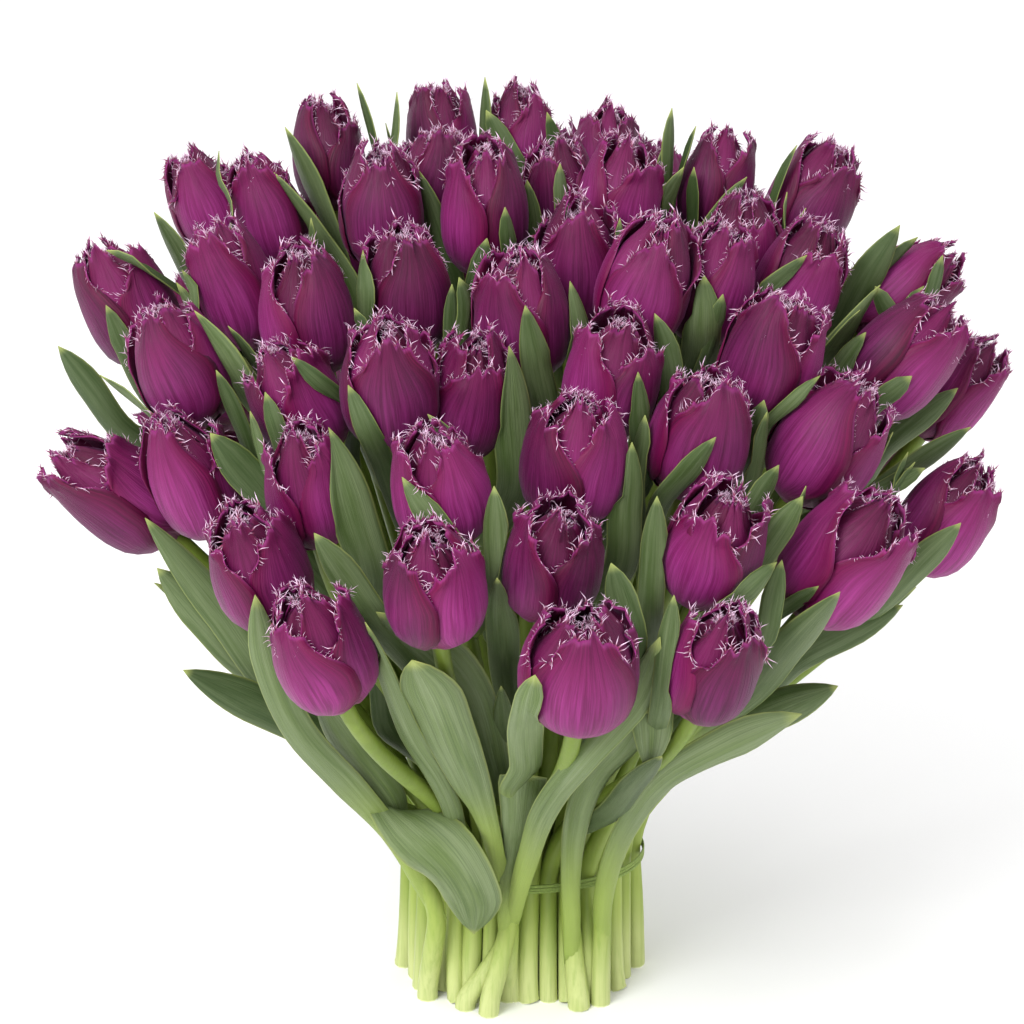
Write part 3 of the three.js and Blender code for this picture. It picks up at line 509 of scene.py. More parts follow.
def nearest_on_stems(goal, ceiling, heads):
    if not hasattr(heads, "stem_points"):
        heads.stem_points = np.array([[stem_point(h, t) for t in stem_steps()] for h in heads])
    points = heads.stem_points
    crowd = 4 * np.array([h.leaves for h in heads], float)[:, None]
    above = 5 * np.maximum(0, points[:, :, 2] - ceiling)
    inward = np.maximum(0, math.hypot(goal[0], goal[1]) - np.hypot(points[:, :, 0], points[:, :, 1]))
    gaps = np.linalg.norm(points - goal, axis=2) + np.abs(points[:, :, 2] - goal[2]) + above + inward + crowd
    i, j = np.unravel_index(int(gaps.argmin()), gaps.shape)
    heads[i].leaves += 1
    return points[i, j].copy(), heads[i]


class Leaf:
    """A leaf's rib from root to tip, its widths there, the row of stems that it grows from, and how it faces."""

    def __init__(self, row, rib, widths):
        self.row, self.rib, self.widths = row, rib, widths
        self.foot, self.lit = None, False


def rooted_leaf(shown, widths, heads):
    low = shown[0]
    drop = min(LEAF_DROP, low[2] - LOWEST_LEAF_ROOT)
    goal = lerp(low, vec(0, 0, BAND_Z), min(0.8, max(0.2, drop / (low[2] - BAND_Z))))
    point, head = nearest_on_stems(goal, low[2] - LEAF_ROOT_BELOW, heads)
    leaf = Leaf(head.row, [point, (point + low) / 2, *shown], [LEAF_ROOT_WIDTH, widths[0] * 0.9, *widths])
    settle_rib(leaf.rib, leaf.widths, heads)
    return leaf


def front_leaf(row, heads):
    tip_across, tip_down, low_across, low_down, width = row[:5]
    among = depth_among(lerp(low_across, tip_across, 0.6), lerp(low_down, tip_down, 0.6), heads)
    shown = []
    for f in (0, 0.5, 1):
        across, down = lerp(low_across, tip_across, f), lerp(low_down, tip_down, f)
        own = among if len(row) == 5 else lerp(LEAF_LOW_DEPTH, row[5], 0.3 + 0.7 * f)
        shown.append(place_at(across, down, clear_depth(across, down, own, heads, width)))
    return rooted_leaf(shown, [width * 0.95, width], heads)


def shaped_leaf(shape, heads):
    rib, widths = shape
    points = [place_at(a, d, clear_depth(a, d, depth, heads, widths[0])) for a, d, depth in rib]
    point, head = nearest_on_stems(points[0], points[1][2] - LEAF_ROOT_BELOW, heads)
    return Leaf(head.row, [point, *points], [LEAF_ROOT_WIDTH, *widths])


def back_leaf(tier, bearing, heads, stream):
    reach, height, length, width = tier[:4]
    turn = math.radians(bearing + lerp(-5, 5, next(stream)))
    size = lerp(*width, next(stream))
    out = vec(math.sin(turn), math.cos(turn), 0)
    tip = keep_clear(out * reach * lerp(0.95, 1.05, next(stream)) + vec(0, 0, height), heads, BACK_LEAF_GAP)
    inward = unit(vec(0, 0, BAND_Z + 20) - tip) * length
    middle, low = (keep_clear(tip + inward * share, heads, BACK_LEAF_GAP) for share in (0.5, 1))
    return rooted_leaf([low, middle, tip], [size, size], heads)


def rib_direction(rib, k):
    return unit(rib[min(k + 1, len(rib) - 1)] - rib[max(k - 1, 0)])


def leaf_facings(rib, twist, heads):
    facings = [leaf_facing(p, rib_direction(rib, k), twist * min(1, k / 2), heads) for k, p in enumerate(rib[:-1])]
    last = len(facings) - 1
    for _ in range(3):
        evened = []
        for k, facing in enumerate(facings):
            even = facing + facings[max(k - 1, 0)] + facings[min(k + 1, last)]
            along = rib_direction(rib, k)
            evened.append(unit(even - along * (even @ along)))
        facings = evened
    return facings


LAYOUT = {}


def layout():
    """Places every head, stem and leaf once, where the solids have them. The slim leaves have no solids."""
    if LAYOUT:
        return LAYOUT
    stream = chance(SEED)
    heads = Heads([front_head(row) for row in FRONT_HEADS] + back_heads(stream))
    bunches = bunches_of(heads)
    settle_heads(heads, bunches)
    for head in heads:
        head.roll = math.radians(lerp(-HEAD_ROLL, HEAD_ROLL, next(stream)))
    heads.gather()
    for head, slot in zip(heads, take_slots(heads, stem_slots(len(heads)))):
        add_stem(head, slot, stream)
    leaves = [front_leaf(row, heads) for row in FRONT_LEAVES]
    shaped = [shaped_leaf(shape, heads) for shape in SHAPED_LEAVES]
    leaves += shaped
    leaves += [back_leaf(tier, bearing, heads, stream) for tier in BACK_LEAVES for bearing in tier[4]]
    leaves += [front_leaf(row, heads) for row in SLIM_LEAVES]
    for leaf in leaves:
        leaf.facings = leaf_facings(leaf.rib, lerp(-LEAF_TWIST, LEAF_TWIST, next(stream)), heads)
    for leaf in leaves[:len(FRONT_LEAVES)]:
        leaf.facings = [f + LEAF_OPEN * unit(eye_point() - p) for f, p in zip(leaf.facings, leaf.rib)]
    # The shaped front leaves count as lit and are painted in a lighter tone.
    for leaf in shaped:
        leaf.lit = True
    for k, (x, y, _, _) in SHEATHED_STEMS.items():
        shaped[k].foot = vec(x, y, 0)
    hanging = shaped[FOLDED_LEAF]
    hanging.facings = [unit(lerp(f, FOLD_FACING, min(1, k / 2))) for k, f in enumerate(hanging.facings)]
    LAYOUT.update(heads=heads, bunches=bunches, leaves=leaves, shaped=shaped)
    return LAYOUT


# ---- node trees ---------------------------------------------------------------------------------------------------
def arithmetic(operation, swapped=False):
    """A method that puts a Math node on a socket and on the value that it meets."""
    def method(self, *other):
        values = (*other, self) if swapped else (self, *other)
        return self.nodes.add("ShaderNodeMath", {"operation": operation}, dict(enumerate(values)))
    return method


class Socket:
    """An output socket. Arithmetic on it adds Math nodes to its tree."""
    __add__ = __radd__ = arithmetic("ADD")
    __mul__ = __rmul__ = arithmetic("MULTIPLY")
    __sub__, __rsub__ = arithmetic("SUBTRACT"), arithmetic("SUBTRACT", swapped=True)
    __truediv__ = arithmetic("DIVIDE")
    __abs__ = arithmetic("ABSOLUTE")

    def __init__(self, nodes, socket):
        self.nodes, self.socket = nodes, socket

    def ramp(self, low, high):
        """From 0 at low to 1 at high, with soft ends."""
        return self.nodes.add("ShaderNodeMapRange", {"interpolation_type": "SMOOTHSTEP"},
                              {"Value": self, "From Min": low, "From Max": high})


class Nodes:
    """Builds a node tree: one method adds any node, sets it and links it."""

    def __init__(self, tree):
        self.tree = tree

    def add(self, kind, settings=None, inputs=None, output=0):
        node = self.tree.nodes.new(kind)
        for name, value in (settings or {}).items():
            setattr(node, name, value)
        for name, value in (inputs or {}).items():
            for one in value if isinstance(value, list) else [value]:
                if isinstance(one, Socket):
                    self.tree.links.new(one.socket, node.inputs[name])
                else:
                    node.inputs[name].default_value = one
        return Socket(self, node.outputs[output]) if node.outputs else node


class Finish(Nodes):
    """A procedural material. Its colours may be given by their names in the settings."""

    def __init__(self, name, look):
        self.look = look
        self.material = bpy.data.materials.new(name)
        self.material.use_nodes = True
        super().__init__(self.material.node_tree)
        self.tree.nodes.clear()

    def attributes(self, *names):
        return [self.add("ShaderNodeAttribute", {"attribute_name": name}, output=2) for name in names]

    def place(self):
        return self.add("ShaderNodeTexCoord", output=3)

    def vector(self, x, y, z):
        return self.add("ShaderNodeCombineXYZ", None, {"X": x, "Y": y, "Z": z})

    def noise(self, where, scale, detail=2.0, roughness=0.5):
        return self.add("ShaderNodeTexNoise", None,
                        {"Vector": where, "Scale": scale, "Detail": detail, "Roughness": roughness})

    def mix(self, share, *colours):
        first, second = ((*getattr(self.look, c), 1.0) if isinstance(c, str) else c for c in colours)
        return self.add("ShaderNodeMix", {"data_type": "RGBA"}, {0: share, 6: first, 7: second}, output=2)

    def layers(self, colour, *coats):
        """A colour under coats, each with its share."""
        for share, coat in coats:
            colour = self.mix(share, colour, coat)
        return colour

    def bump(self, height, distance, strength=1.0):
        return self.add("ShaderNodeBump", None, {"Height": height, "Distance": distance, "Strength": strength})

    def surface(self, **inputs):
        names = {name.replace("_", " ").title().replace("Ior", "IOR"): value for name, value in inputs.items()}
        shader = self.add("ShaderNodeBsdfPrincipled", None, names)
        self.add("ShaderNodeOutputMaterial", None, {"Surface": shader})
        return self.material


def petal_finish(look):
    """Petals: satin, with fine lengthwise veins, a painted lilac highlight low on the middle of the outside, pale edges
    near the top, and redder margins and insides; the inside colour is also painted as shade on the inner petals and the
    heart.
    """
    f = Finish("petal", look)
    across, along, tone, inside = f.attributes("across", "along", "tone", "inside")
    veins = f.noise(f.vector(across * 16, along * 1.6, tone * 40), 1.0, 4.0, 0.65)
    fine = f.noise(f.vector(across * 60, along * 2.5, tone * 90), 1.0, 2.0)
    cloud = f.noise(f.place(), 55.0, 3.0)
    margin, top = abs(across).ramp(0.45, 1.0), along.ramp(0.35, 1.0)
    rim = (abs(across).ramp(0.93, 1.0) + along.ramp(0.955, 1.0)) * along.ramp(0.55, 0.8)
    # Painted highlight: a lilac sheen laid on the middle of each petal's outside, weaker towards the margins and the
    # top.
    film = (1 - margin) * (1 - top * 0.7) * (0.3 + veins.ramp(0.3, 0.7) * 0.55) * (0.3 + tone * 0.85)
    colour = f.layers(f.mix((cloud * 0.7 + tone * 0.6).ramp(0.3, 1.0), "petal_deep", "petal"),
                      (film, "petal_bloom"),
                      ((margin * 0.6 + top * 0.35) * veins.ramp(0.2, 0.8), "petal_margin"),
                      ((1 - along.ramp(0.0, 0.16)) * 0.6, "petal_base"),
                      # The inner faces' own colour. It is also painted as shade on the inner petals' outer faces and on
                      # the heart.
                      (inside * 0.85, "petal_inside"),
                      (fine.ramp(0.35, 0.75) * 0.28, "petal_deep"),
                      # Pale edges along the upper margins, in the same colour as the painted highlight.
                      (rim * 0.45, "petal_bloom"))
    return f.surface(base_color=colour, roughness=0.36 + veins * 0.2, specular_ior_level=0.22,
                     sheen_weight=0.06, sheen_roughness=0.4, sheen_tint=(0.85, 0.6, 1.0, 1.0),
                     normal=f.bump(veins * 0.6 + fine * 0.4, 0.0005))


def fringe_finish(look):
    """Fringe needles: petal colour at the root, frosted pale at the tip."""
    f = Finish("fringe", look)
    reach, = f.attributes("reach")
    return f.surface(base_color=f.mix(reach.ramp(0.1, 0.7), "petal_margin", "fringe"), roughness=0.45,
                     sheen_weight=0.3)


def leaf_finish(look):
    """Leaves: a grey wax over green outside, deeper green inside, parallel veins, thin pale margins and tips; the lit
    front leaves are painted lighter and greyer than the shaded ones among the blooms.
    """
    f = Finish("leaf", look)
    across, along, tone, inside, low = f.attributes("across", "along", "tone", "inside", "low")
    veins = f.noise(f.vector(across * 30, along * 1.6, tone * 50), 1.0, 4.0, 0.62)
    streaks = f.noise(f.vector(across * 7, along * 1.1, tone * 30 + 7), 1.0, 3.0, 0.6)
    wax = f.noise(f.vector(across * 2.5, along * 2.5, tone * 20), 1.0, 4.0, 0.6)
    edge = abs(across).ramp(0.9, 1.0) * (1 - low) * 0.42 + along.ramp(0.955, 1.0) * 0.7
    # Painted light: the lit front leaves take a light tone and more grey wax, and the shaded leaves among the blooms
    # take a dark one; within each group the tone varies at random.
    colour = f.layers(f.mix(tone, "leaf", "leaf_young"),
                      (streaks.ramp(0.35, 0.7) * 0.35, "leaf_inside"),
                      (wax.ramp(0.3, 0.7) * (0.25 + tone * 0.45), "leaf_wax"),
                      (inside * 0.7, "leaf_inside"),
                      (veins.ramp(0.4, 0.7) * 0.4, "leaf_vein"),
                      (low * 0.95, "leaf_base"),
                      (edge, "leaf_margin"))
    return f.surface(base_color=colour, roughness=0.42 + wax * 0.16, specular_ior_level=0.32,
                     normal=f.bump(veins * 0.7 + streaks * 0.3, 0.0006, 0.8))


def stem_finish(look):
    """Stems: green above, paling to the cut ends, partly their own colour and partly painted light from below, with
    lengthwise streaks.
    """
    f = Finish("stem", look)
    place, (tone,) = f.place(), f.attributes("tone")
    height = f.add("ShaderNodeSeparateXYZ", None, {"Vector": place}, output=2)
    long_grain = f.add("ShaderNodeMapping", None, {"Vector": place, "Scale": (520.0, 520.0, 16.0)})
    streak = f.noise(long_grain, 1.0, 3.0, 0.6)
    cloud = f.noise(place, 60.0, 3.0)
    colour = f.layers(f.mix(height.ramp(0.03, 0.13), "stem_low", "stem"),
                      (tone * 0.45, "stem"),
                      # Paling near the foot: partly the stems' own colour, partly painted light where the light from
                      # below falls on them.
                      ((1 - height.ramp(0.0, 0.045)) * 0.75, "stem_foot"),
                      (streak.ramp(0.4, 0.75) * 0.4, "stem_streak"),
                      (cloud.ramp(0.45, 0.8) * 0.25, "stem_low"),
                      (1 - height.ramp(0.0001, 0.0009), "stem_cut"))
    return f.surface(base_color=colour, roughness=0.4 + streak * 0.15, specular_ior_level=0.35,
                     normal=f.bump(streak, 0.0003, 0.6))


def tie_finish(look):
    """The tie: pale raffia with a fibrous grain round its length."""
    f = Finish("tie", look)
    along, across, tone = f.attributes("along", "across", "tone")
    grain = f.noise(f.vector(along * 30, across * 9, tone * 10), 1.0, 3.0, 0.6)
    return f.surface(base_color=f.mix(grain.ramp(0.3, 0.75), "tie_dark", "tie"), roughness=0.6 + grain * 0.2,
                     normal=f.bump(grain, 0.0003))


def floor_finish(look):
    """The floor: pale and nearly even."""
    f = Finish("floor", look)
    grain = f.noise(f.place(), 30.0, 3.0)
    return f.surface(base_color=f.mix(grain * 0.03, "floor", (0.94, 0.94, 0.94, 1.0)), roughness=0.9)


# ---- geometry node trees --------------------------------------------------------------------------------------------
def new_geometry_tree(name, sizes):
    """A tree with a geometry input and output, and a named input for each size."""
    tree = bpy.data.node_groups.new(name, "GeometryNodeTree")
    tree.interface.new_socket("Geometry", in_out="INPUT", socket_type="NodeSocketGeometry")
    tree.interface.new_socket("Geometry", in_out="OUTPUT", socket_type="NodeSocketGeometry")
    for label, (kind, value) in sizes.items():
        item = tree.interface.new_socket(label, in_out="INPUT", socket_type=kind)
        item.default_value = value
    nodes = Nodes(tree)
    source = tree.nodes.new("NodeGroupInput")
    given = {s.name: Socket(nodes, s) for s in source.outputs if s.name}
    return tree, nodes, given


def close_tree(tree, geometry):
    out = tree.nodes.new("NodeGroupOutput")
    tree.links.new(geometry.socket, out.inputs[0])


def stored(nodes, name, kind="FLOAT"):
    return nodes.add("GeometryNodeInputNamedAttribute", {"data_type": kind}, {"Name": name})


def painted(nodes, geometry, finish):
    return nodes.add("GeometryNodeSetMaterial", None, {0: geometry, 2: finish})


def fringe_tree(petal, fringe):
    """Petals come in with their free margin marked; curled needles grow along it, and both go out together."""
    tree, g, given = new_geometry_tree("Fringed petals", {
        "Needles per Margin": ("NodeSocketInt", 60), "Needle Length": ("NodeSocketFloat", 0.004),
        "Needle Thickness": ("NodeSocketFloat", 0.0004), "Curl": ("NodeSocketFloat", 0.85),
        "Scatter": ("NodeSocketFloat", 0.5), "Seed": ("NodeSocketInt", 1)})

    def random(low, high, salt, kind="FLOAT"):
        ends = {"FLOAT": (2, 3, 1), "FLOAT_VECTOR": (0, 1, 0)}[kind]
        return g.add("FunctionNodeRandomValue", {"data_type": kind},
                     {ends[0]: low, ends[1]: high, 8: given["Seed"] + salt}, output=ends[2])

    margin = g.add("GeometryNodeMeshToCurve", None, {0: given["Geometry"], 1: stored(g, "margin", "BOOLEAN")})
    spaced = g.add("GeometryNodeResampleCurve", None, {0: margin, 2: given["Needles per Margin"]})
    cone = g.add("GeometryNodeMeshCone", None, {
        "Vertices": 3, "Side Segments": 2, "Radius Top": 0.0, "Radius Bottom": 0.5, "Depth": 1.0})
    spot = g.add("GeometryNodeInputPosition")
    height = g.add("ShaderNodeSeparateXYZ", None, {0: spot}, output=2)
    bend = g.add("ShaderNodeCombineXYZ", None, {0: height * height * given["Curl"] / given["Needle Thickness"]
                                                * given["Needle Length"]})
    bent = g.add("GeometryNodeSetPosition", None, {0: cone, 3: bend})
    needle = g.add("GeometryNodeStoreNamedAttribute", {"data_type": "FLOAT", "domain": "POINT"},
                   {0: bent, 2: "reach", 3: height})
    heading = g.add("ShaderNodeVectorMath", {"operation": "ADD"}, {
        0: stored(g, "outward", "FLOAT_VECTOR"),
        1: g.add("ShaderNodeVectorMath", {"operation": "SCALE"},
                 {0: random((-1, -1, -1), (1, 1, 1), 3, "FLOAT_VECTOR"), 3: given["Scatter"]})})
    spin = g.add("FunctionNodeAxisAngleToRotation", None, {0: (0, 0, 1), 1: random(0.0, FULL_TURN, 5)})
    aim = g.add("FunctionNodeAlignRotationToVector", {"axis": "Z"}, {2: heading})
    turned = g.add("FunctionNodeRotateRotation", {"rotation_space": "LOCAL"}, {0: aim, 1: spin})
    size = random(*NEEDLE_SIZES, 7) * stored(g, "size")
    stretch = g.add("ShaderNodeCombineXYZ", None, {
        0: given["Needle Thickness"] * size, 1: given["Needle Thickness"] * size, 2: given["Needle Length"] * size})
    placed = g.add("GeometryNodeInstanceOnPoints", None, {0: spaced, 2: needle, 5: turned, 6: stretch})
    needles = g.add("GeometryNodeRealizeInstances", None, {0: placed})
    both = [painted(g, given["Geometry"], petal), painted(g, needles, fringe)]
    close_tree(tree, g.add("GeometryNodeJoinGeometry", None, {0: both}))
    return tree


def stem_tree(finish):
    """Each line of edges becomes a round stem with closed ends, as thick as its points say."""
    tree, g, given = new_geometry_tree("Round stems", {"Sides": ("NodeSocketInt", 9)})
    line = g.add("GeometryNodeMeshToCurve", None, {0: given["Geometry"]})
    ring = g.add("GeometryNodeCurvePrimitiveCircle", None, {"Resolution": given["Sides"], "Radius": 1.0})
    tube = g.add("GeometryNodeCurveToMesh", None, {0: line, 1: ring, 2: stored(g, "thick"), 3: True})
    whole = g.add("GeometryNodeRealizeInstances", None, {0: tube})
    close_tree(tree, painted(g, whole, finish))
    return tree


def with_tree(obj, tree, values):
    """Puts a tree on an object and sets its inputs by their sockets' identifiers."""
    modifier = obj.modifiers.new(tree.name, "NODES")
    modifier.node_group = tree
    for item in tree.interface.items_tree:
        if item.in_out == "INPUT" and item.name in values:
            modifier[item.identifier] = values[item.name]


def bake(objects):
    """Turns what the modifiers make into plain meshes and removes the modifiers."""
    graph = bpy.context.evaluated_depsgraph_get()
    made = [bpy.data.meshes.new_from_object(obj.evaluated_get(graph), preserve_all_data_layers=True, depsgraph=graph)
            for obj in objects]
    for obj, mesh in zip(objects, made):
        obj.modifiers.clear()
        old, obj.data = obj.data, mesh
        bpy.data.meshes.remove(old)
        mesh.name = obj.name


# ---- mesh helpers ---------------------------------------------------------------------------------------------------
class Shell:
    """Gathers closed sheets, each given as a grid of outer points, and the values that go with every point."""

    def __init__(self):
        self.points, self.faces, self.values, self.count = [], [], {}, 0

    def add_sheet(self, outer, inner, values, inner_values):
        """Both grids are rows x columns x 3. The values spread over them, and the inner ones may differ."""
        rows, columns = outer.shape[:2]
        front = np.arange(rows * columns).reshape(rows, columns) + self.count
        back = front + rows * columns
        quads = [np.stack([front[:-1, :-1], front[:-1, 1:], front[1:, 1:], front[1:, :-1]], -1).reshape(-1, 4),
                 np.stack([back[:-1, :-1], back[1:, :-1], back[1:, 1:], back[:-1, 1:]], -1).reshape(-1, 4)]
        rims = [(front[0, ::-1], back[0, ::-1]), (front[-1], back[-1]),
                (front[:, 0], back[:, 0]), (front[::-1, -1], back[::-1, -1])]
        for f, b in rims:
            quads.append(np.stack([f[:-1], f[1:], b[1:], b[:-1]], -1))
        faces = np.concatenate(quads)
        points = np.concatenate([outer.reshape(-1, 3), inner.reshape(-1, 3)])
        if self.signed_volume(points, faces - self.count) < 0:
            faces = faces[:, ::-1]
        self.points.append(points)
        self.faces.append(faces)
        for name, value in values.items():
            both = [np.broadcast_to(v, (rows, columns, *np.shape(v)[2:])).reshape(rows * columns, -1)
                    for v in (value, inner_values.get(name, value))]
            self.values.setdefault(name, []).append(np.concatenate(both))
        self.count += 2 * rows * columns

    @staticmethod
    def signed_volume(points, faces):
        a, b, c, d = (points[faces[:, k]] for k in range(4))
        return float((np.cross(b - a, c - a) * a).sum() + (np.cross(c - a, d - a) * a).sum())

    def to_mesh(self, name):
        points, faces = np.concatenate(self.points) * MM, np.concatenate(self.faces)
        mesh = bpy.data.meshes.new(name)
        mesh.vertices.add(len(points))
        mesh.vertices.foreach_set("co", points.astype(np.float32).ravel())
        mesh.loops.add(faces.size)
        mesh.loops.foreach_set("vertex_index", faces.astype(np.int32).ravel())
        mesh.polygons.add(len(faces))
        mesh.polygons.foreach_set("loop_start", np.arange(0, faces.size, 4, dtype=np.int32))
        mesh.update(calc_edges=True)
        mesh.validate()
        for label, value in self.values.items():
            data = np.concatenate(value)
            kind, field = {1: ("FLOAT", "value"), 3: ("FLOAT_VECTOR", "vector")}[data.shape[1]]
            if data.dtype == bool:
                kind = "BOOLEAN"
            layer = mesh.attributes.new(label, kind, "POINT")
            layer.data.foreach_set(field, data.ravel() if kind == "BOOLEAN" else data.astype(np.float32).ravel())
        mesh.shade_smooth()
        return mesh


def sheet_normals(grid):
    down, side = np.gradient(grid, axis=0), np.gradient(grid, axis=1)
    return units(np.cross(side, down))


def add_object(name, mesh):
    obj = bpy.data.objects.new(name, mesh)
    bpy.context.scene.collection.objects.link(obj)
    return obj


def hand_over(obj, nodes):
    """The piece rides with the bouquet and stands for its nodes."""
    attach(obj, BODY)
    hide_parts(*nodes)


# ---- bloom ----------------------------------------------------------------------------------------------------------
# A bloom's radius against its half width, at shares of its length.
PROFILE = [(0, 0.18), (0.02, 0.34), (0.06, 0.55), (0.13, 0.76), (0.22, 0.91), (0.34, 0.99), (0.46, 1.0), (0.6, 0.965),
           (0.74, 0.885), (0.84, 0.8), (0.91, 0.71), (0.96, 0.62), (1.0, 0.53), (1.06, 0.42)]
SMALLEST_RADIUS = 0.07
FEWEST_BLOOM_FACES = 1000
MARGIN_FROM = 0.66  # the share of a petal's length from which its edge is fringed
NEEDLE_SIZES = (0.45, 1.0)  # of the fringe's needles, against the longest
TURN_CHANCE = 0.45  # how often a bloom stands turned by the angle between an outer and an inner petal
TURN_ANGLE = 60
SHORTER = (0.02, 0.16)  # how much one outer petal of each bloom falls short
HEART_COLUMNS, HEART_ROWS = 10, 6
Petals = namedtuple("Petals", "turns columns rows spread height depth tip skews inside")
# The inner petals' outer faces take a share of the darker inside colour: painted shade, as they stand within the outer
# petals.
INNER_PETALS = Petals((60, 180, 300), 12, 12, (56, 66), (0.95, 1.04), 0.9, (-0.3, -0.1), (-1, 1), 0.35)
OUTER_PETALS = Petals((0, 120, 240), 14, 16, (62, 74), (0.9, 1.0), 1.0, (-0.1, 0.08), (1,), 0)


def petal_grid(centre_turn, spread, height, depth, tip, curl, skew, dice, columns, rows):
    """A petal's outer face on a bloom of radius 1 and length 1: turn, radius and height at each grid point."""
    a = np.linspace(-1, 1, columns + 1)[None, :]
    s = (1 - (1 - np.linspace(0, 1, rows + 1)) ** 1.25)[:, None]
    claw = 0.42 + 0.58 * smooth(0, 0.3, s)
    crown = 1 - (0.38 + 0.14 * dice.random()) * smooth(0.5, 1.02, s)
    lean = 0.12 * dice.uniform(-1, 1) * smooth(0.3, 1, s)
    turn = centre_turn + spread * (claw * crown * a + lean)
    notches = dice.normal(0, 1, (1, columns + 1))
    swell = np.interp(a[0], np.linspace(-1, 1, 6), dice.uniform(-1, 1, 6))[None, :]
    top = smooth(0.66, 1, s)
    rise = s * height + (0.022 * notches + 0.04 * swell + 0.03 * skew * a - dice.uniform(0.07, 0.14) * a * a) * top
    radius = along_profile(PROFILE, rise) * depth
    radius = radius * (1 - 0.045 * a * a * smooth(0, 0.3, s) + 0.035 * skew * a)
    radius = radius + 0.02 * np.exp(-(a / 0.1) ** 2) * smooth(0.02, 0.2, s) * (1 - smooth(0.6, 0.95, s))
    edge = np.clip(np.abs(a) ** 3 * smooth(0.45, 0.8, s) + smooth(0.84, 1, s), 0, 1)
    phase = dice.random() * FULL_TURN
    wave = np.sin(a * (5 + 2 * dice.random()) + phase) + 0.8 * np.sin(a * 13 + 2 * phase + s * 9)
    radius = radius + tip * smooth(0.5, 1, s) ** 1.4 - curl * edge + 0.055 * edge * wave
    return turn, np.maximum(radius, SMALLEST_RADIUS), rise, a, s


def bloom_bearings(head):
    """The middle of a bloom's foot, the way out of it to the front, and the way to the side."""
    out = unit(head.facing - head.axis * (head.facing @ head.axis))
    return head.centre - head.axis * head.length / 2, out, np.cross(head.axis, out)


def round_axis(head, bearings, turn, reach, rise):
    """Places round a bloom's axis: the angle from its front, the distance from the axis and the share of its length."""
    base, out, side = bearings
    return (base + head.axis * (rise * head.length)[..., None] + out * (np.cos(turn) * reach)[..., None]
            + side * (np.sin(turn) * reach)[..., None])


def marked_margin(grid, fringed=slice(0)):
    """Marks where a petal's fringe grows: along its top, and on both its sides in the fringed rows."""
    margin = np.zeros(grid.shape[:2], bool)
    margin[-1] = True
    margin[fringed, 0] = margin[fringed, -1] = True
    return margin


def heart_sheets(shell, head, bearings, roll, dice, petal):
    """Three ruffled petal tops that fill the mouth of a bloom, deeper than its inner petals."""
    a, s = np.linspace(-1, 1, HEART_COLUMNS + 1)[None, :], np.linspace(0, 1, HEART_ROWS + 1)[:, None]
    for k in range(3):
        turn = roll + math.radians(k * 120 + dice.uniform(-15, 15)) + (1.0 - 0.2 * s) * a
        wave = np.sin(a * 7 + dice.uniform(*ANY_PHASE)) + 0.7 * np.sin(a * 15 + dice.uniform(*ANY_PHASE))
        reach = (lerp(0.62, dice.uniform(0.1, 0.26), s ** 1.5) + 0.06 * wave * s) * head.width / 2
        rise = lerp(0.66, dice.uniform(0.86, 0.96), s) + 0.025 * s * np.cos(a * 11 + dice.uniform(*ANY_PHASE))
        grid = round_axis(head, bearings, turn, reach, rise)
        outward = head.axis * 0.9 + dice.normal(0, 0.35, grid.shape)
        # The heart's upper face takes most of the darker inside colour: painted shade down in the bloom's mouth.
        values = {"across": a, "along": 0.7 + 0.3 * s, "tone": dice.random(), "inside": 0.7, "size": 0.6,
                  "outward": outward, "margin": marked_margin(grid)}
        shell.add_sheet(grid, grid - head.axis * (petal.thickness / MM * 0.6), values,
                        {"inside": 1.0, "margin": False})


def petal_sheet(shell, head, bearings, kind, centre_turn, shortfall, dice, petal):
    """One petal of a bloom, thinner at its edges, with the directions in which its fringe grows."""
    spread = math.radians(dice.uniform(*kind.spread))
    height = dice.uniform(*kind.height) - (dice.uniform(*SHORTER) if shortfall else 0)
    tip = dice.uniform(*kind.tip)
    curl = dice.uniform(-0.12, 0.07)
    skew = dice.choice(kind.skews) if len(kind.skews) > 1 else kind.skews[0]
    turn, reach, rise, a, s = petal_grid(centre_turn + math.radians(dice.uniform(-8, 8)), spread, height, kind.depth,
                                         tip, curl, skew, dice, kind.columns, kind.rows)
    grid = round_axis(head, bearings, turn, reach * head.width / 2, rise)
    normal = sheet_normals(grid)
    offset = grid - bearings[0]
    if (normal * (offset - head.axis * (offset @ head.axis)[..., None])).sum() < 0:
        normal = -normal
    outward = np.zeros_like(grid)
    outward[:, 0], outward[:, -1] = grid[:, 0] - grid[:, 1], grid[:, -1] - grid[:, -2]
    outward = units(outward)
    outward[-1] += units(grid[-1] - grid[-2])
    outward += head.axis * 0.3 + normal * dice.uniform(-0.1, 0.6)
    clump = 0.75 + 0.35 * np.sin(a * 9 + s * 14 + dice.uniform(*ANY_PHASE))
    thin = petal.thickness / MM * (1 - 0.55 * smooth(0.7, 1, np.abs(a)))
    values = {"across": a, "along": s, "tone": dice.random(), "inside": kind.inside,
              "size": smooth(MARGIN_FROM - 0.1, 0.86, s) * clump, "outward": outward,
              "margin": marked_margin(grid, s[:, 0] > MARGIN_FROM)}
    shell.add_sheet(grid, grid - normal * thin[..., None], values, {"inside": 1.0, "margin": False})


def bloom_sheets(shell, head, number, petal):
    """Adds one bloom's ruffled heart and its six petals, three outer and three deeper inner ones, to a shell."""
    dice = np.random.default_rng(1000 + number)
    bearings = bloom_bearings(head)
    roll = head.roll + math.radians(TURN_ANGLE * (dice.random() < TURN_CHANCE))
    short = dice.integers(3)
    heart_sheets(shell, head, bearings, roll, dice, petal)
    for kind in (INNER_PETALS, OUTER_PETALS):
        for k, turn in enumerate(kind.turns):
            petal_sheet(shell, head, bearings, kind, math.radians(turn) + roll, kind is OUTER_PETALS and k == short,
                        dice, petal)


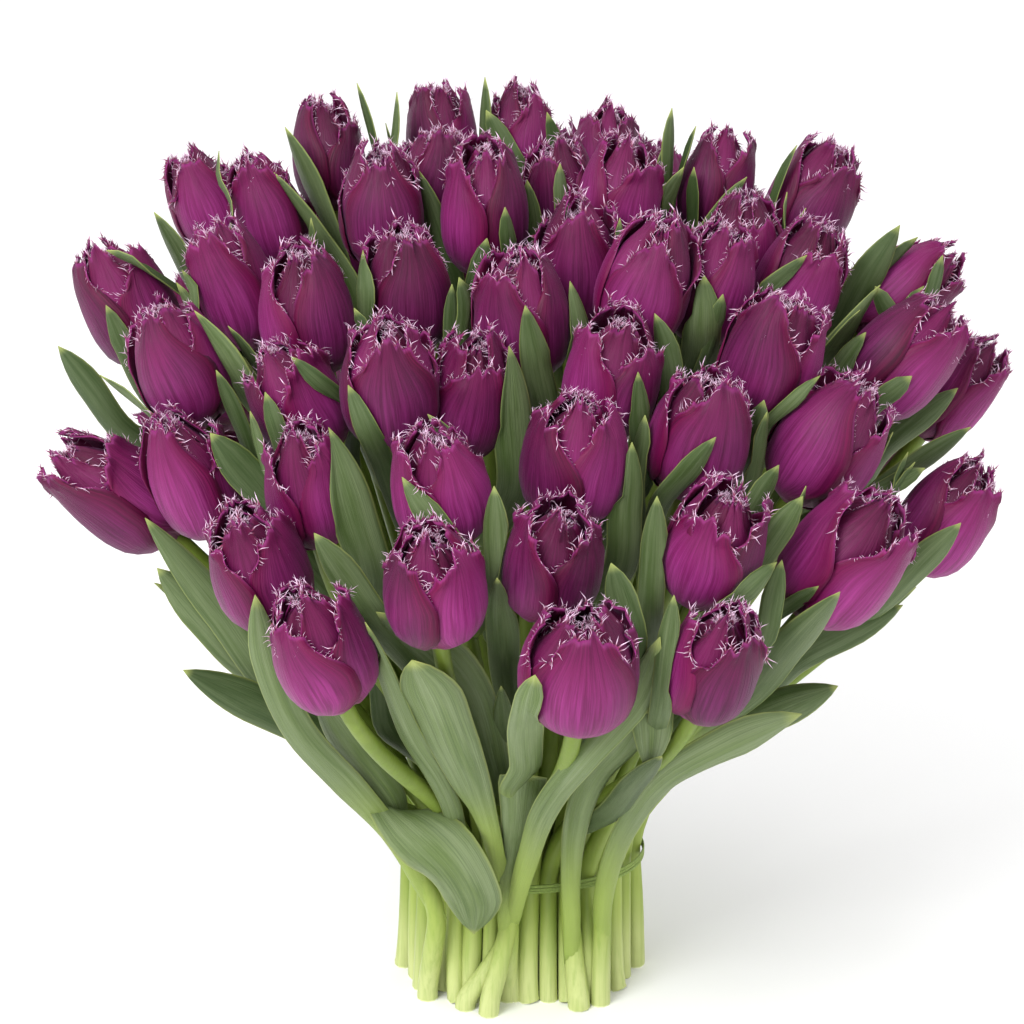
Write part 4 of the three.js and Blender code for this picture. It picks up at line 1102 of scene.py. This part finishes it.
# ---- leaf -----------------------------------------------------------------------------------------------------------
def curve_through(points, count):
    """Evenly spread places on a smooth curve through the points, and the share of the curve at each given point."""
    points = np.array(points)
    steps = np.linalg.norm(np.diff(points, axis=0), axis=1)
    knots = np.concatenate([[0], np.cumsum(steps)]) / steps.sum()
    slopes = np.gradient(points, knots, axis=0)
    t = np.linspace(0, 1, count)
    k = np.clip(np.searchsorted(knots, t, side="right") - 1, 0, len(points) - 2)
    span = (knots[k + 1] - knots[k])[:, None]
    u = (t - knots[k])[:, None] / span
    h = (2 * u ** 3 - 3 * u ** 2 + 1, u ** 3 - 2 * u ** 2 + u, 3 * u ** 2 - 2 * u ** 3, u ** 3 - u ** 2)
    return h[0] * points[k] + h[1] * span * slopes[k] + h[2] * points[k + 1] + h[3] * span * slopes[k + 1], knots, t


def leaf_sheet(shell, leaf, number, heads, thickness):
    """Adds one leaf: a curved blade with a thin margin, rolled round its stem where it is sheathed."""
    dice = np.random.default_rng(5000 + number)
    sheathed = leaf.foot is not None
    points, widths, facings = (part[int(sheathed):] for part in (leaf.rib, leaf.widths, leaf.facings))
    length = np.linalg.norm(np.diff(points, axis=0), axis=1).sum()
    rib, knots, t = curve_through(points, int(np.clip(length / LEAF_STEP, *LEAF_ROWS)) + 1)
    last = len(facings) - 1
    to_tip = np.clip((t - knots[last]) / (1 - knots[last]), 0, 1)
    half = np.interp(t, knots[:last + 1], widths[:last + 1]) / 2 * (1 - to_tip ** 1.8) ** 0.9 + 0.12
    facings = np.array([np.interp(t, knots[:last + 1], [f[i] for f in facings]) for i in range(3)]).T
    along = units(np.gradient(rib, axis=0))
    facings = units(facings - along * (facings * along).sum(1, keepdims=True))
    side = np.cross(along, facings)
    a = np.linspace(-1, 1, LEAF_COLUMNS + 1)
    t = t[:, None]
    rolled = SHEATH_ROLL if sheathed else LEAF_ROLL
    wrap = lerp(rolled, dice.uniform(0.34, 0.56), smooth(0.0, 0.5, t))
    half = half[:, None] * (1 + 0.5 * (rolled - LEAF_ROLL) * (1 - smooth(0, 0.35, t)))
    sway = 0.07 * half * np.sin(t * dice.uniform(7, 12) + a * 1.2 + dice.uniform(*ANY_PHASE)) * np.abs(a)
    lift = -half * (1 - np.cos(wrap * a)) / wrap - 0.05 * half * np.abs(a) + sway * smooth(0.1, 0.4, t)
    across = half * np.sin(wrap * a) / wrap
    grid = rib[:, None] + side[:, None] * across[..., None] + facings[:, None] * lift[..., None]
    thin = thickness * (1 - 0.7 * np.abs(a) ** 2) * (0.35 + 0.65 * np.clip(half / 4, 0, 1))
    shift = clear_shift(grid.reshape(-1, 3), heads, LEAF_MARGIN).reshape(grid.shape)
    if sheathed:
        shift = shift - (facings * SHEATH_SINK * (1 - smooth(0, 0.16, t)))[:, None]
    low = 1 - smooth(*((0.12, 0.5) if sheathed else (0.0, 0.22)), t)
    # Painted light: the lit front leaves get a light tone and the shaded ones a dark tone, each varying at random.
    tone = dice.uniform(0.8, 1.0) if leaf.lit else dice.uniform(0.0, 0.55)
    rise = facings[:, None] * (thin * 0.5)[..., None]
    shell.add_sheet(grid + rise + shift, grid - rise + shift,
                    {"across": a, "along": t, "tone": tone, "inside": 0.0, "low": low}, {"inside": 1.0})


def clear_shift(points, heads, margin):
    """How far each point moves to leave the blooms that it is in."""
    moved = points.copy()
    for _ in range(2):
        for centre, axis, width, length in zip(heads.centres, heads.axes, heads.widths, heads.lengths):
            offset = moved - centre
            near = np.nonzero((offset * offset).sum(1) < (length * 0.75) ** 2)[0]
            if not len(near):
                continue
            along = offset[near] @ axis
            needed = along_profile(OUTLINE, along / length + 0.5) * width / 2
            rest = offset[near] - axis * along[:, None]
            size = np.maximum(1e-6, np.linalg.norm(rest, axis=1))
            push = np.where(needed > 0, np.clip(needed + margin - size, 0, None), 0)
            moved[near] += rest / size[:, None] * push[:, None]
    return moved - points


# ---- settings -------------------------------------------------------------------------------------------------------
def colour_setting(name, description, value):
    return bpy.props.FloatVectorProperty(name=name, description=description, subtype="COLOR", size=3, min=0, max=1,
                                         default=value)


def size_setting(name, description, default, low, high):
    return bpy.props.FloatProperty(name=name, description=description, default=default, min=low, max=high,
                                   subtype="DISTANCE", unit="LENGTH")


def power_setting(name, description, default):
    return bpy.props.FloatProperty(name=name, description=description, default=default, min=0, max=500, unit="POWER")


def linear(red, green, blue):
    """A colour's linear values from the usual 0 to 255 ones."""
    def one(v):
        v = v / 255
        return v / 12.92 if v <= 0.04045 else ((v + 0.055) / 1.055) ** 2.4
    return tuple(one(v) for v in (red, green, blue))


class BouquetBloomSettings(bpy.types.PropertyGroup):
    """Sizes and colours of the blooms."""
    petal: colour_setting("Petal", "Main colour of the petals", linear(100, 3, 64))
    petal_deep: colour_setting("Petal Deep", "Colour of the darker patches and fine veins", linear(48, 1, 28))
    # Painted highlight: the lilac laid on the middle of the petals as sheen. The same colour also gives their pale
    # edges.
    petal_bloom: colour_setting("Petal Bloom", "Lilac film low on the outside of a petal", linear(160, 56, 134))
    petal_margin: colour_setting("Petal Margin", "Colour towards the edges and the top", linear(116, 3, 64))
    petal_base: colour_setting("Petal Base", "Colour where a petal joins the stem", linear(184, 112, 154))
    # Also painted as shade on the inner petals' outer faces and on the heart.
    petal_inside: colour_setting("Petal Inside", "Colour of the inner face", linear(84, 3, 48))
    fringe: colour_setting("Fringe", "Colour of the needles' tips", linear(238, 204, 232))
    thickness: size_setting("Petal Thickness", "Thickness in the middle of a petal", 0.0008, 0.0003, 0.002)
    needle_length: size_setting("Needle Length", "Length of the longest needles", 0.0042, 0.001, 0.01)
    needle_thickness: size_setting("Needle Thickness", "Thickness at a needle's root", 0.00092, 0.0002, 0.003)
    needles: bpy.props.IntProperty(name="Needles", description="Needles along each petal's margin", default=52,
                                   min=10, max=120)


class BouquetGreenSettings(bpy.types.PropertyGroup):
    """Sizes and colours of the leaves and stems."""
    leaf: colour_setting("Leaf", "Main colour of the leaves", linear(54, 74, 32))
    # Painted light: the colour of the lit leaves, and of the lighter ones at random.
    leaf_young: colour_setting("Lighter and Lit Leaf", "Colour of the lighter leaves", linear(106, 126, 70))
    leaf_wax: colour_setting("Leaf Wax", "Grey film on the outside of a leaf", linear(136, 150, 112))
    leaf_inside: colour_setting("Leaf Inside", "Colour of the inner face", linear(46, 72, 24))
    leaf_vein: colour_setting("Leaf Vein", "Colour of the fine parallel veins", linear(52, 72, 34))
    leaf_margin: colour_setting("Leaf Margin", "Colour of the edges and the tip", linear(176, 186, 104))
    leaf_base: colour_setting("Leaf Base", "Colour low on a leaf, where it sheathes the stem", linear(148, 168, 80))
    leaf_thickness: size_setting("Leaf Thickness", "Thickness along a leaf's rib", 0.0011, 0.0005, 0.002)
    stem: colour_setting("Stem", "Colour of the stems in the upper part", linear(108, 128, 46))
    stem_low: colour_setting("Stem Low", "Colour of the stems below the tie", linear(156, 174, 82))
    # Partly the stems' own pale foot, partly painted light from below.
    stem_foot: colour_setting("Stem Foot", "Colour close to the cut", linear(206, 212, 150))
    stem_streak: colour_setting("Stem Streak", "Colour of the lengthwise streaks", linear(120, 148, 52))
    stem_cut: colour_setting("Stem Cut", "Colour of the cut face", linear(222, 228, 182))


class BouquetTieSettings(bpy.types.PropertyGroup):
    """Colours of the tie."""
    tie: colour_setting("Tie", "Main colour of the tie", linear(150, 172, 84))
    tie_dark: colour_setting("Tie Grain", "Colour of the tie's grain", linear(112, 136, 58))
    turns: bpy.props.IntProperty(name="Turns", description="Times that the tie goes round", default=3, min=1, max=6)


class BouquetStageSettings(bpy.types.PropertyGroup):
    """The floor and the light."""
    floor: colour_setting("Floor", "Colour of the floor", (0.97, 0.97, 0.97))
    key_power: power_setting("Key Light", "Power of the main soft light", 34)
    fill_power: power_setting("Fill Light", "Power of the fill light and of the one above", 3)
    sky: bpy.props.FloatProperty(name="Sky", description="Strength of the even light from all sides", default=1.0,
                                 min=0, max=5)


# The floor's half width, the lights' places and sizes and the point they face, in metres, with each light's setting.
FLOOR_REACH = 12.0
LIGHT_TARGET = (0, 0, 0.2)
LIGHTS = [("key", (-0.9, -1.3, 1.5), 1.1, "key_power"), ("fill", (1.3, -1.2, 0.9), 1.2, "fill_power"),
          ("top", (0.1, 0.5, 1.7), 1.4, "fill_power")]
SENSOR_WIDTH = 36  # millimetres
FARTHEST_SEEN = 50  # metres


# ---- operators ------------------------------------------------------------------------------------------------------
class BOUQUET_OT_blooms(bpy.types.Operator):
    """Add the 75 fringed blooms, one piece for each bloom or pressed bunch"""
    bl_idname = "bouquet.blooms"
    bl_label = "Add Blooms"
    bl_options = {"REGISTER", "UNDO"}

    def execute(self, context):
        look, places = context.scene.bouquet_blooms, layout()
        tree = fringe_tree(petal_finish(look), fringe_finish(look))
        pieces = []
        for bunch in places["bunches"]:
            numbers = "_".join(f"{k + 1:02d}" for k in bunch)
            shell = Shell()
            for k in bunch:
                bloom_sheets(shell, places["heads"][k], k, look)
            obj = add_object(f"petals_{numbers}", shell.to_mesh("petals"))
            with_tree(obj, tree, {"Needles per Margin": look.needles, "Needle Length": look.needle_length,
                                  "Needle Thickness": look.needle_thickness, "Seed": bunch[0] * 11 + 1})
            pieces.append((obj, f"bloom_{numbers}"))
        bake([obj for obj, _ in pieces])
        for obj, node in pieces:
            if len(obj.data.polygons) < FEWEST_BLOOM_FACES:
                raise RuntimeError(f"{obj.name} has hardly any faces: its petals weren't made")
            hand_over(obj, [node])
        return {"FINISHED"}


class BOUQUET_OT_leafy_stems(bpy.types.Operator):
    """Add the stems in their rows, and the leaves that grow from each row"""
    bl_idname = "bouquet.leafy_stems"
    bl_label = "Add Stems and Leaves"
    bl_options = {"REGISTER", "UNDO"}

    def execute(self, context):
        look, places = context.scene.bouquet_greens, layout()
        heads = places["heads"]
        tree, leaf_material = stem_tree(stem_finish(look)), leaf_finish(look)
        stems, blades = [], []
        dice = np.random.default_rng(400)
        for number, row in enumerate(sorted({head.row for head in heads}), 1):
            lines = [bloom_stem(head, dice) for head in heads if head.row == row]
            lines += [sheathed_stem(leaf, *SHEATHED_STEMS[k][2:]) for k, leaf in enumerate(places["shaped"])
                      if leaf.foot is not None and leaf.row == row]
            stems.append((number, add_object(f"stems_row_{number}", stem_lines(lines))))
            with_tree(stems[-1][1], tree, {"Sides": STEM_SIDES})
            shell = Shell()
            for k, leaf in enumerate(places["leaves"]):
                if leaf.row == row:
                    leaf_sheet(shell, leaf, k, heads, look.leaf_thickness / MM)
            if shell.count:
                blades.append((number, add_object(f"leaves_row_{number}", shell.to_mesh("leaves"))))
                blades[-1][1].data.materials.append(leaf_material)
        bake([obj for _, obj in stems])
        for _, obj in stems:
            for vertex in obj.data.vertices:  # the cut ends are level
                vertex.co.z = max(vertex.co.z, 0.0)
            obj.data.shade_smooth()
            obj.data.set_sharp_from_angle(angle=SHARP_ANGLE)
        for number, obj in stems + blades:
            hand_over(obj, [f"leafy_stems_row_{number}"])
        return {"FINISHED"}


def bloom_stem(head, dice):
    """Places down a bloom's stem, and half its thickness at each: slightly bent, and swollen at the cut."""
    foot = [-1, -0.97, -0.8, -0.6, -0.4, -0.2]
    places = [stem_point(head, t) for t in foot + list(np.linspace(0, 1, 19))]
    bend = dice.uniform(-1.0, 1.0, 2)
    own = dice.uniform(0.9, 1.1)
    sizes = []
    for k, place in enumerate(places):
        low = max(0, 1 - k / 7)
        place[:2] += bend * math.sin(low * 4.2) * low * STEM_BEND
        sizes.append(lerp(STEM_R * own, STEM_NECK_R, max(0, k - 6) / 18) * (1.05 if k < 2 else 1.0))
    places.append(places[-1] + head.axis * 2)
    return places, [*sizes, STEM_NECK_R]


def sheathed_stem(leaf, size, behind):
    """Places up the stem that a front leaf sheathes, from its foot to where the blade opens, and half its thickness."""
    inset = [leaf.rib[k] - leaf.facings[k] * (size * share + 0.3 + behind * (3 - k) / 2)
             for k, share in enumerate(SHEATH_SHARES, 1)]
    foot_at = leaf.foot + vec(0, 0, 0.9)
    path, knots, t = curve_through([leaf.foot, foot_at, lerp(foot_at, inset[0], 0.5), *inset], 22)
    return list(path), list(np.interp(t, knots, (1.03, 1.03, 0.98, *SHEATH_SHARES)) * size)


def stem_lines(stems):
    """The middle lines of some stems as loose edges, each point with the stem's thickness and tone."""
    points, edges, thick, tone = [], [], [], []
    for number, (places, sizes) in enumerate(stems):
        own = (number * 0.618 + 0.3) % 1
        for k, (place, size) in enumerate(zip(places, sizes)):
            if k:
                edges.append((len(points) - 1, len(points)))
            points.append(tuple(place * MM))
            thick.append(size * MM)
            tone.append(own)
    mesh = bpy.data.meshes.new("stem_lines")
    mesh.from_pydata(points, edges, [])
    mesh.attributes.new("thick", "FLOAT", "POINT").data.foreach_set("value", thick)
    mesh.attributes.new("tone", "FLOAT", "POINT").data.foreach_set("value", tone)
    return mesh


class BOUQUET_OT_tie(bpy.types.Operator):
    """Add the tie round the stems"""
    bl_idname = "bouquet.tie"
    bl_label = "Add Tie"
    bl_options = {"REGISTER", "UNDO"}

    def execute(self, context):
        look, heads = context.scene.bouquet_ties, layout()["heads"]
        size = max(math.hypot(h.at_band[0], h.at_band[1] * BUNDLE_ASPECT) for h in heads)
        stem = STEM_R * 1.15 + CLEARANCE
        pitch = BAND_HEIGHT / look.turns
        turn, i, j = np.indices((look.turns, TIE_STEPS, TIE_SIDES)).reshape(3, -1)
        angle, t = i / TIE_STEPS * 2 * math.pi, j / TIE_SIDES * 2 * math.pi
        reach = stem + BAND_THICK / 2 * (0.55 + 0.5 * np.cos(t))
        rise = pitch * (0.55 * np.sin(t) + turn - (look.turns - 1) / 2) + 0.15 * np.sin(angle * 3 + turn * 2)
        points = np.stack([(size + reach) * np.cos(angle), (size / BUNDLE_ASPECT + reach) * np.sin(angle),
                           BAND_Z + rise], 1) * MM
        ring, following = turn * TIE_STEPS + i, turn * TIE_STEPS + (i + 1) % TIE_STEPS
        faces = np.stack([ring * TIE_SIDES + j, following * TIE_SIDES + j,
                          following * TIE_SIDES + (j + 1) % TIE_SIDES, ring * TIE_SIDES + (j + 1) % TIE_SIDES], 1)
        mesh = bpy.data.meshes.new("tie")
        mesh.from_pydata(points.tolist(), [], faces.tolist())
        for label, values in (("along", i / TIE_STEPS * 12), ("across", np.cos(t)), ("tone", turn / look.turns)):
            mesh.attributes.new(label, "FLOAT", "POINT").data.foreach_set("value", values)
        mesh.shade_smooth()
        mesh.materials.append(tie_finish(look))
        obj = add_object("tie", mesh)
        if not mesh.polygons:
            raise RuntimeError("the tie has no turns")
        hand_over(obj, ["band"])
        return {"FINISHED"}


class BOUQUET_OT_stage(bpy.types.Operator):
    """Add the floor, the soft studio light and the camera"""
    bl_idname = "bouquet.stage"
    bl_label = "Add Stage"
    bl_options = {"REGISTER", "UNDO"}

    def execute(self, context):
        look, scene = context.scene.bouquet_stage, context.scene
        mesh = bpy.data.meshes.new("floor")
        corners = [(x * FLOOR_REACH, y * FLOOR_REACH, 0) for x, y in ((-1, -1), (1, -1), (1, 1), (-1, 1))]
        mesh.from_pydata(corners, [], [(0, 1, 2, 3)])
        mesh.materials.append(floor_finish(look))
        add_object("floor", mesh)

        for name, place, size, power in LIGHTS:
            self.add_light(scene, name, place, size, getattr(look, power))

        world = bpy.data.worlds.new("studio")
        world.use_nodes = True
        background = world.node_tree.nodes["Background"]
        background.inputs["Color"].default_value = (1, 1, 1, 1)
        background.inputs["Strength"].default_value = look.sky
        scene.world = world
        scene.view_settings.view_transform = "Standard"

        data = bpy.data.cameras.new("camera")
        data.sensor_width = SENSOR_WIDTH
        data.lens = SENSOR_WIDTH / 2 / (GRID_MIDDLE * GRID_UNIT / VIEW_DISTANCE)
        data.clip_end = FARTHEST_SEEN
        camera = bpy.data.objects.new("camera", data)
        scene.collection.objects.link(camera)
        camera.location = Vector(eye_point() * MM)
        camera.rotation_euler = (math.pi / 2 - VIEW_ELEVATION, 0, 0)
        scene.camera = camera
        return {"FINISHED"}

    def add_light(self, scene, name, place, size, power):
        data = bpy.data.lights.new(name, "AREA")
        data.shape, data.size, data.energy = "DISK", size, power
        light = bpy.data.objects.new(name, data)
        scene.collection.objects.link(light)
        light.location = place
        light.rotation_euler = (Vector(LIGHT_TARGET) - Vector(place)).to_track_quat("-Z", "Y").to_euler()


# ---- panel and registration -----------------------------------------------------------------------------------------
class BOUQUET_PT_panel(bpy.types.Panel):
    """Lists the bouquet's pieces with their settings"""
    bl_label = "Fringed Tulip Bouquet"
    bl_space_type = "VIEW_3D"
    bl_region_type = "UI"
    bl_category = "Bouquet"

    def draw(self, context):
        for operator, settings in STEPS:
            box = self.layout.box()
            box.operator(operator)
            group = getattr(context.scene, settings)
            for name in group.bl_rna.properties.keys():
                if name not in ("rna_type", "name"):
                    box.prop(group, name)


STEPS = [("bouquet.blooms", "bouquet_blooms"), ("bouquet.leafy_stems", "bouquet_greens"),
         ("bouquet.tie", "bouquet_ties"), ("bouquet.stage", "bouquet_stage")]
SETTINGS = {"bouquet_blooms": BouquetBloomSettings, "bouquet_greens": BouquetGreenSettings,
            "bouquet_ties": BouquetTieSettings, "bouquet_stage": BouquetStageSettings}
CLASSES = (*SETTINGS.values(), BOUQUET_OT_blooms, BOUQUET_OT_leafy_stems, BOUQUET_OT_tie, BOUQUET_OT_stage,
           BOUQUET_PT_panel)


def register():
    for cls in CLASSES:
        bpy.utils.register_class(cls)
    for name, group in SETTINGS.items():
        setattr(bpy.types.Scene, name, bpy.props.PointerProperty(type=group))


def unregister():
    for name in SETTINGS:
        delattr(bpy.types.Scene, name)
    for cls in reversed(CLASSES):
        bpy.utils.unregister_class(cls)


def main():
    register()
    for operator, _ in STEPS:
        group, name = operator.split(".")
        getattr(getattr(bpy.ops, group), name)()


if __name__ == "__main__":
    main()
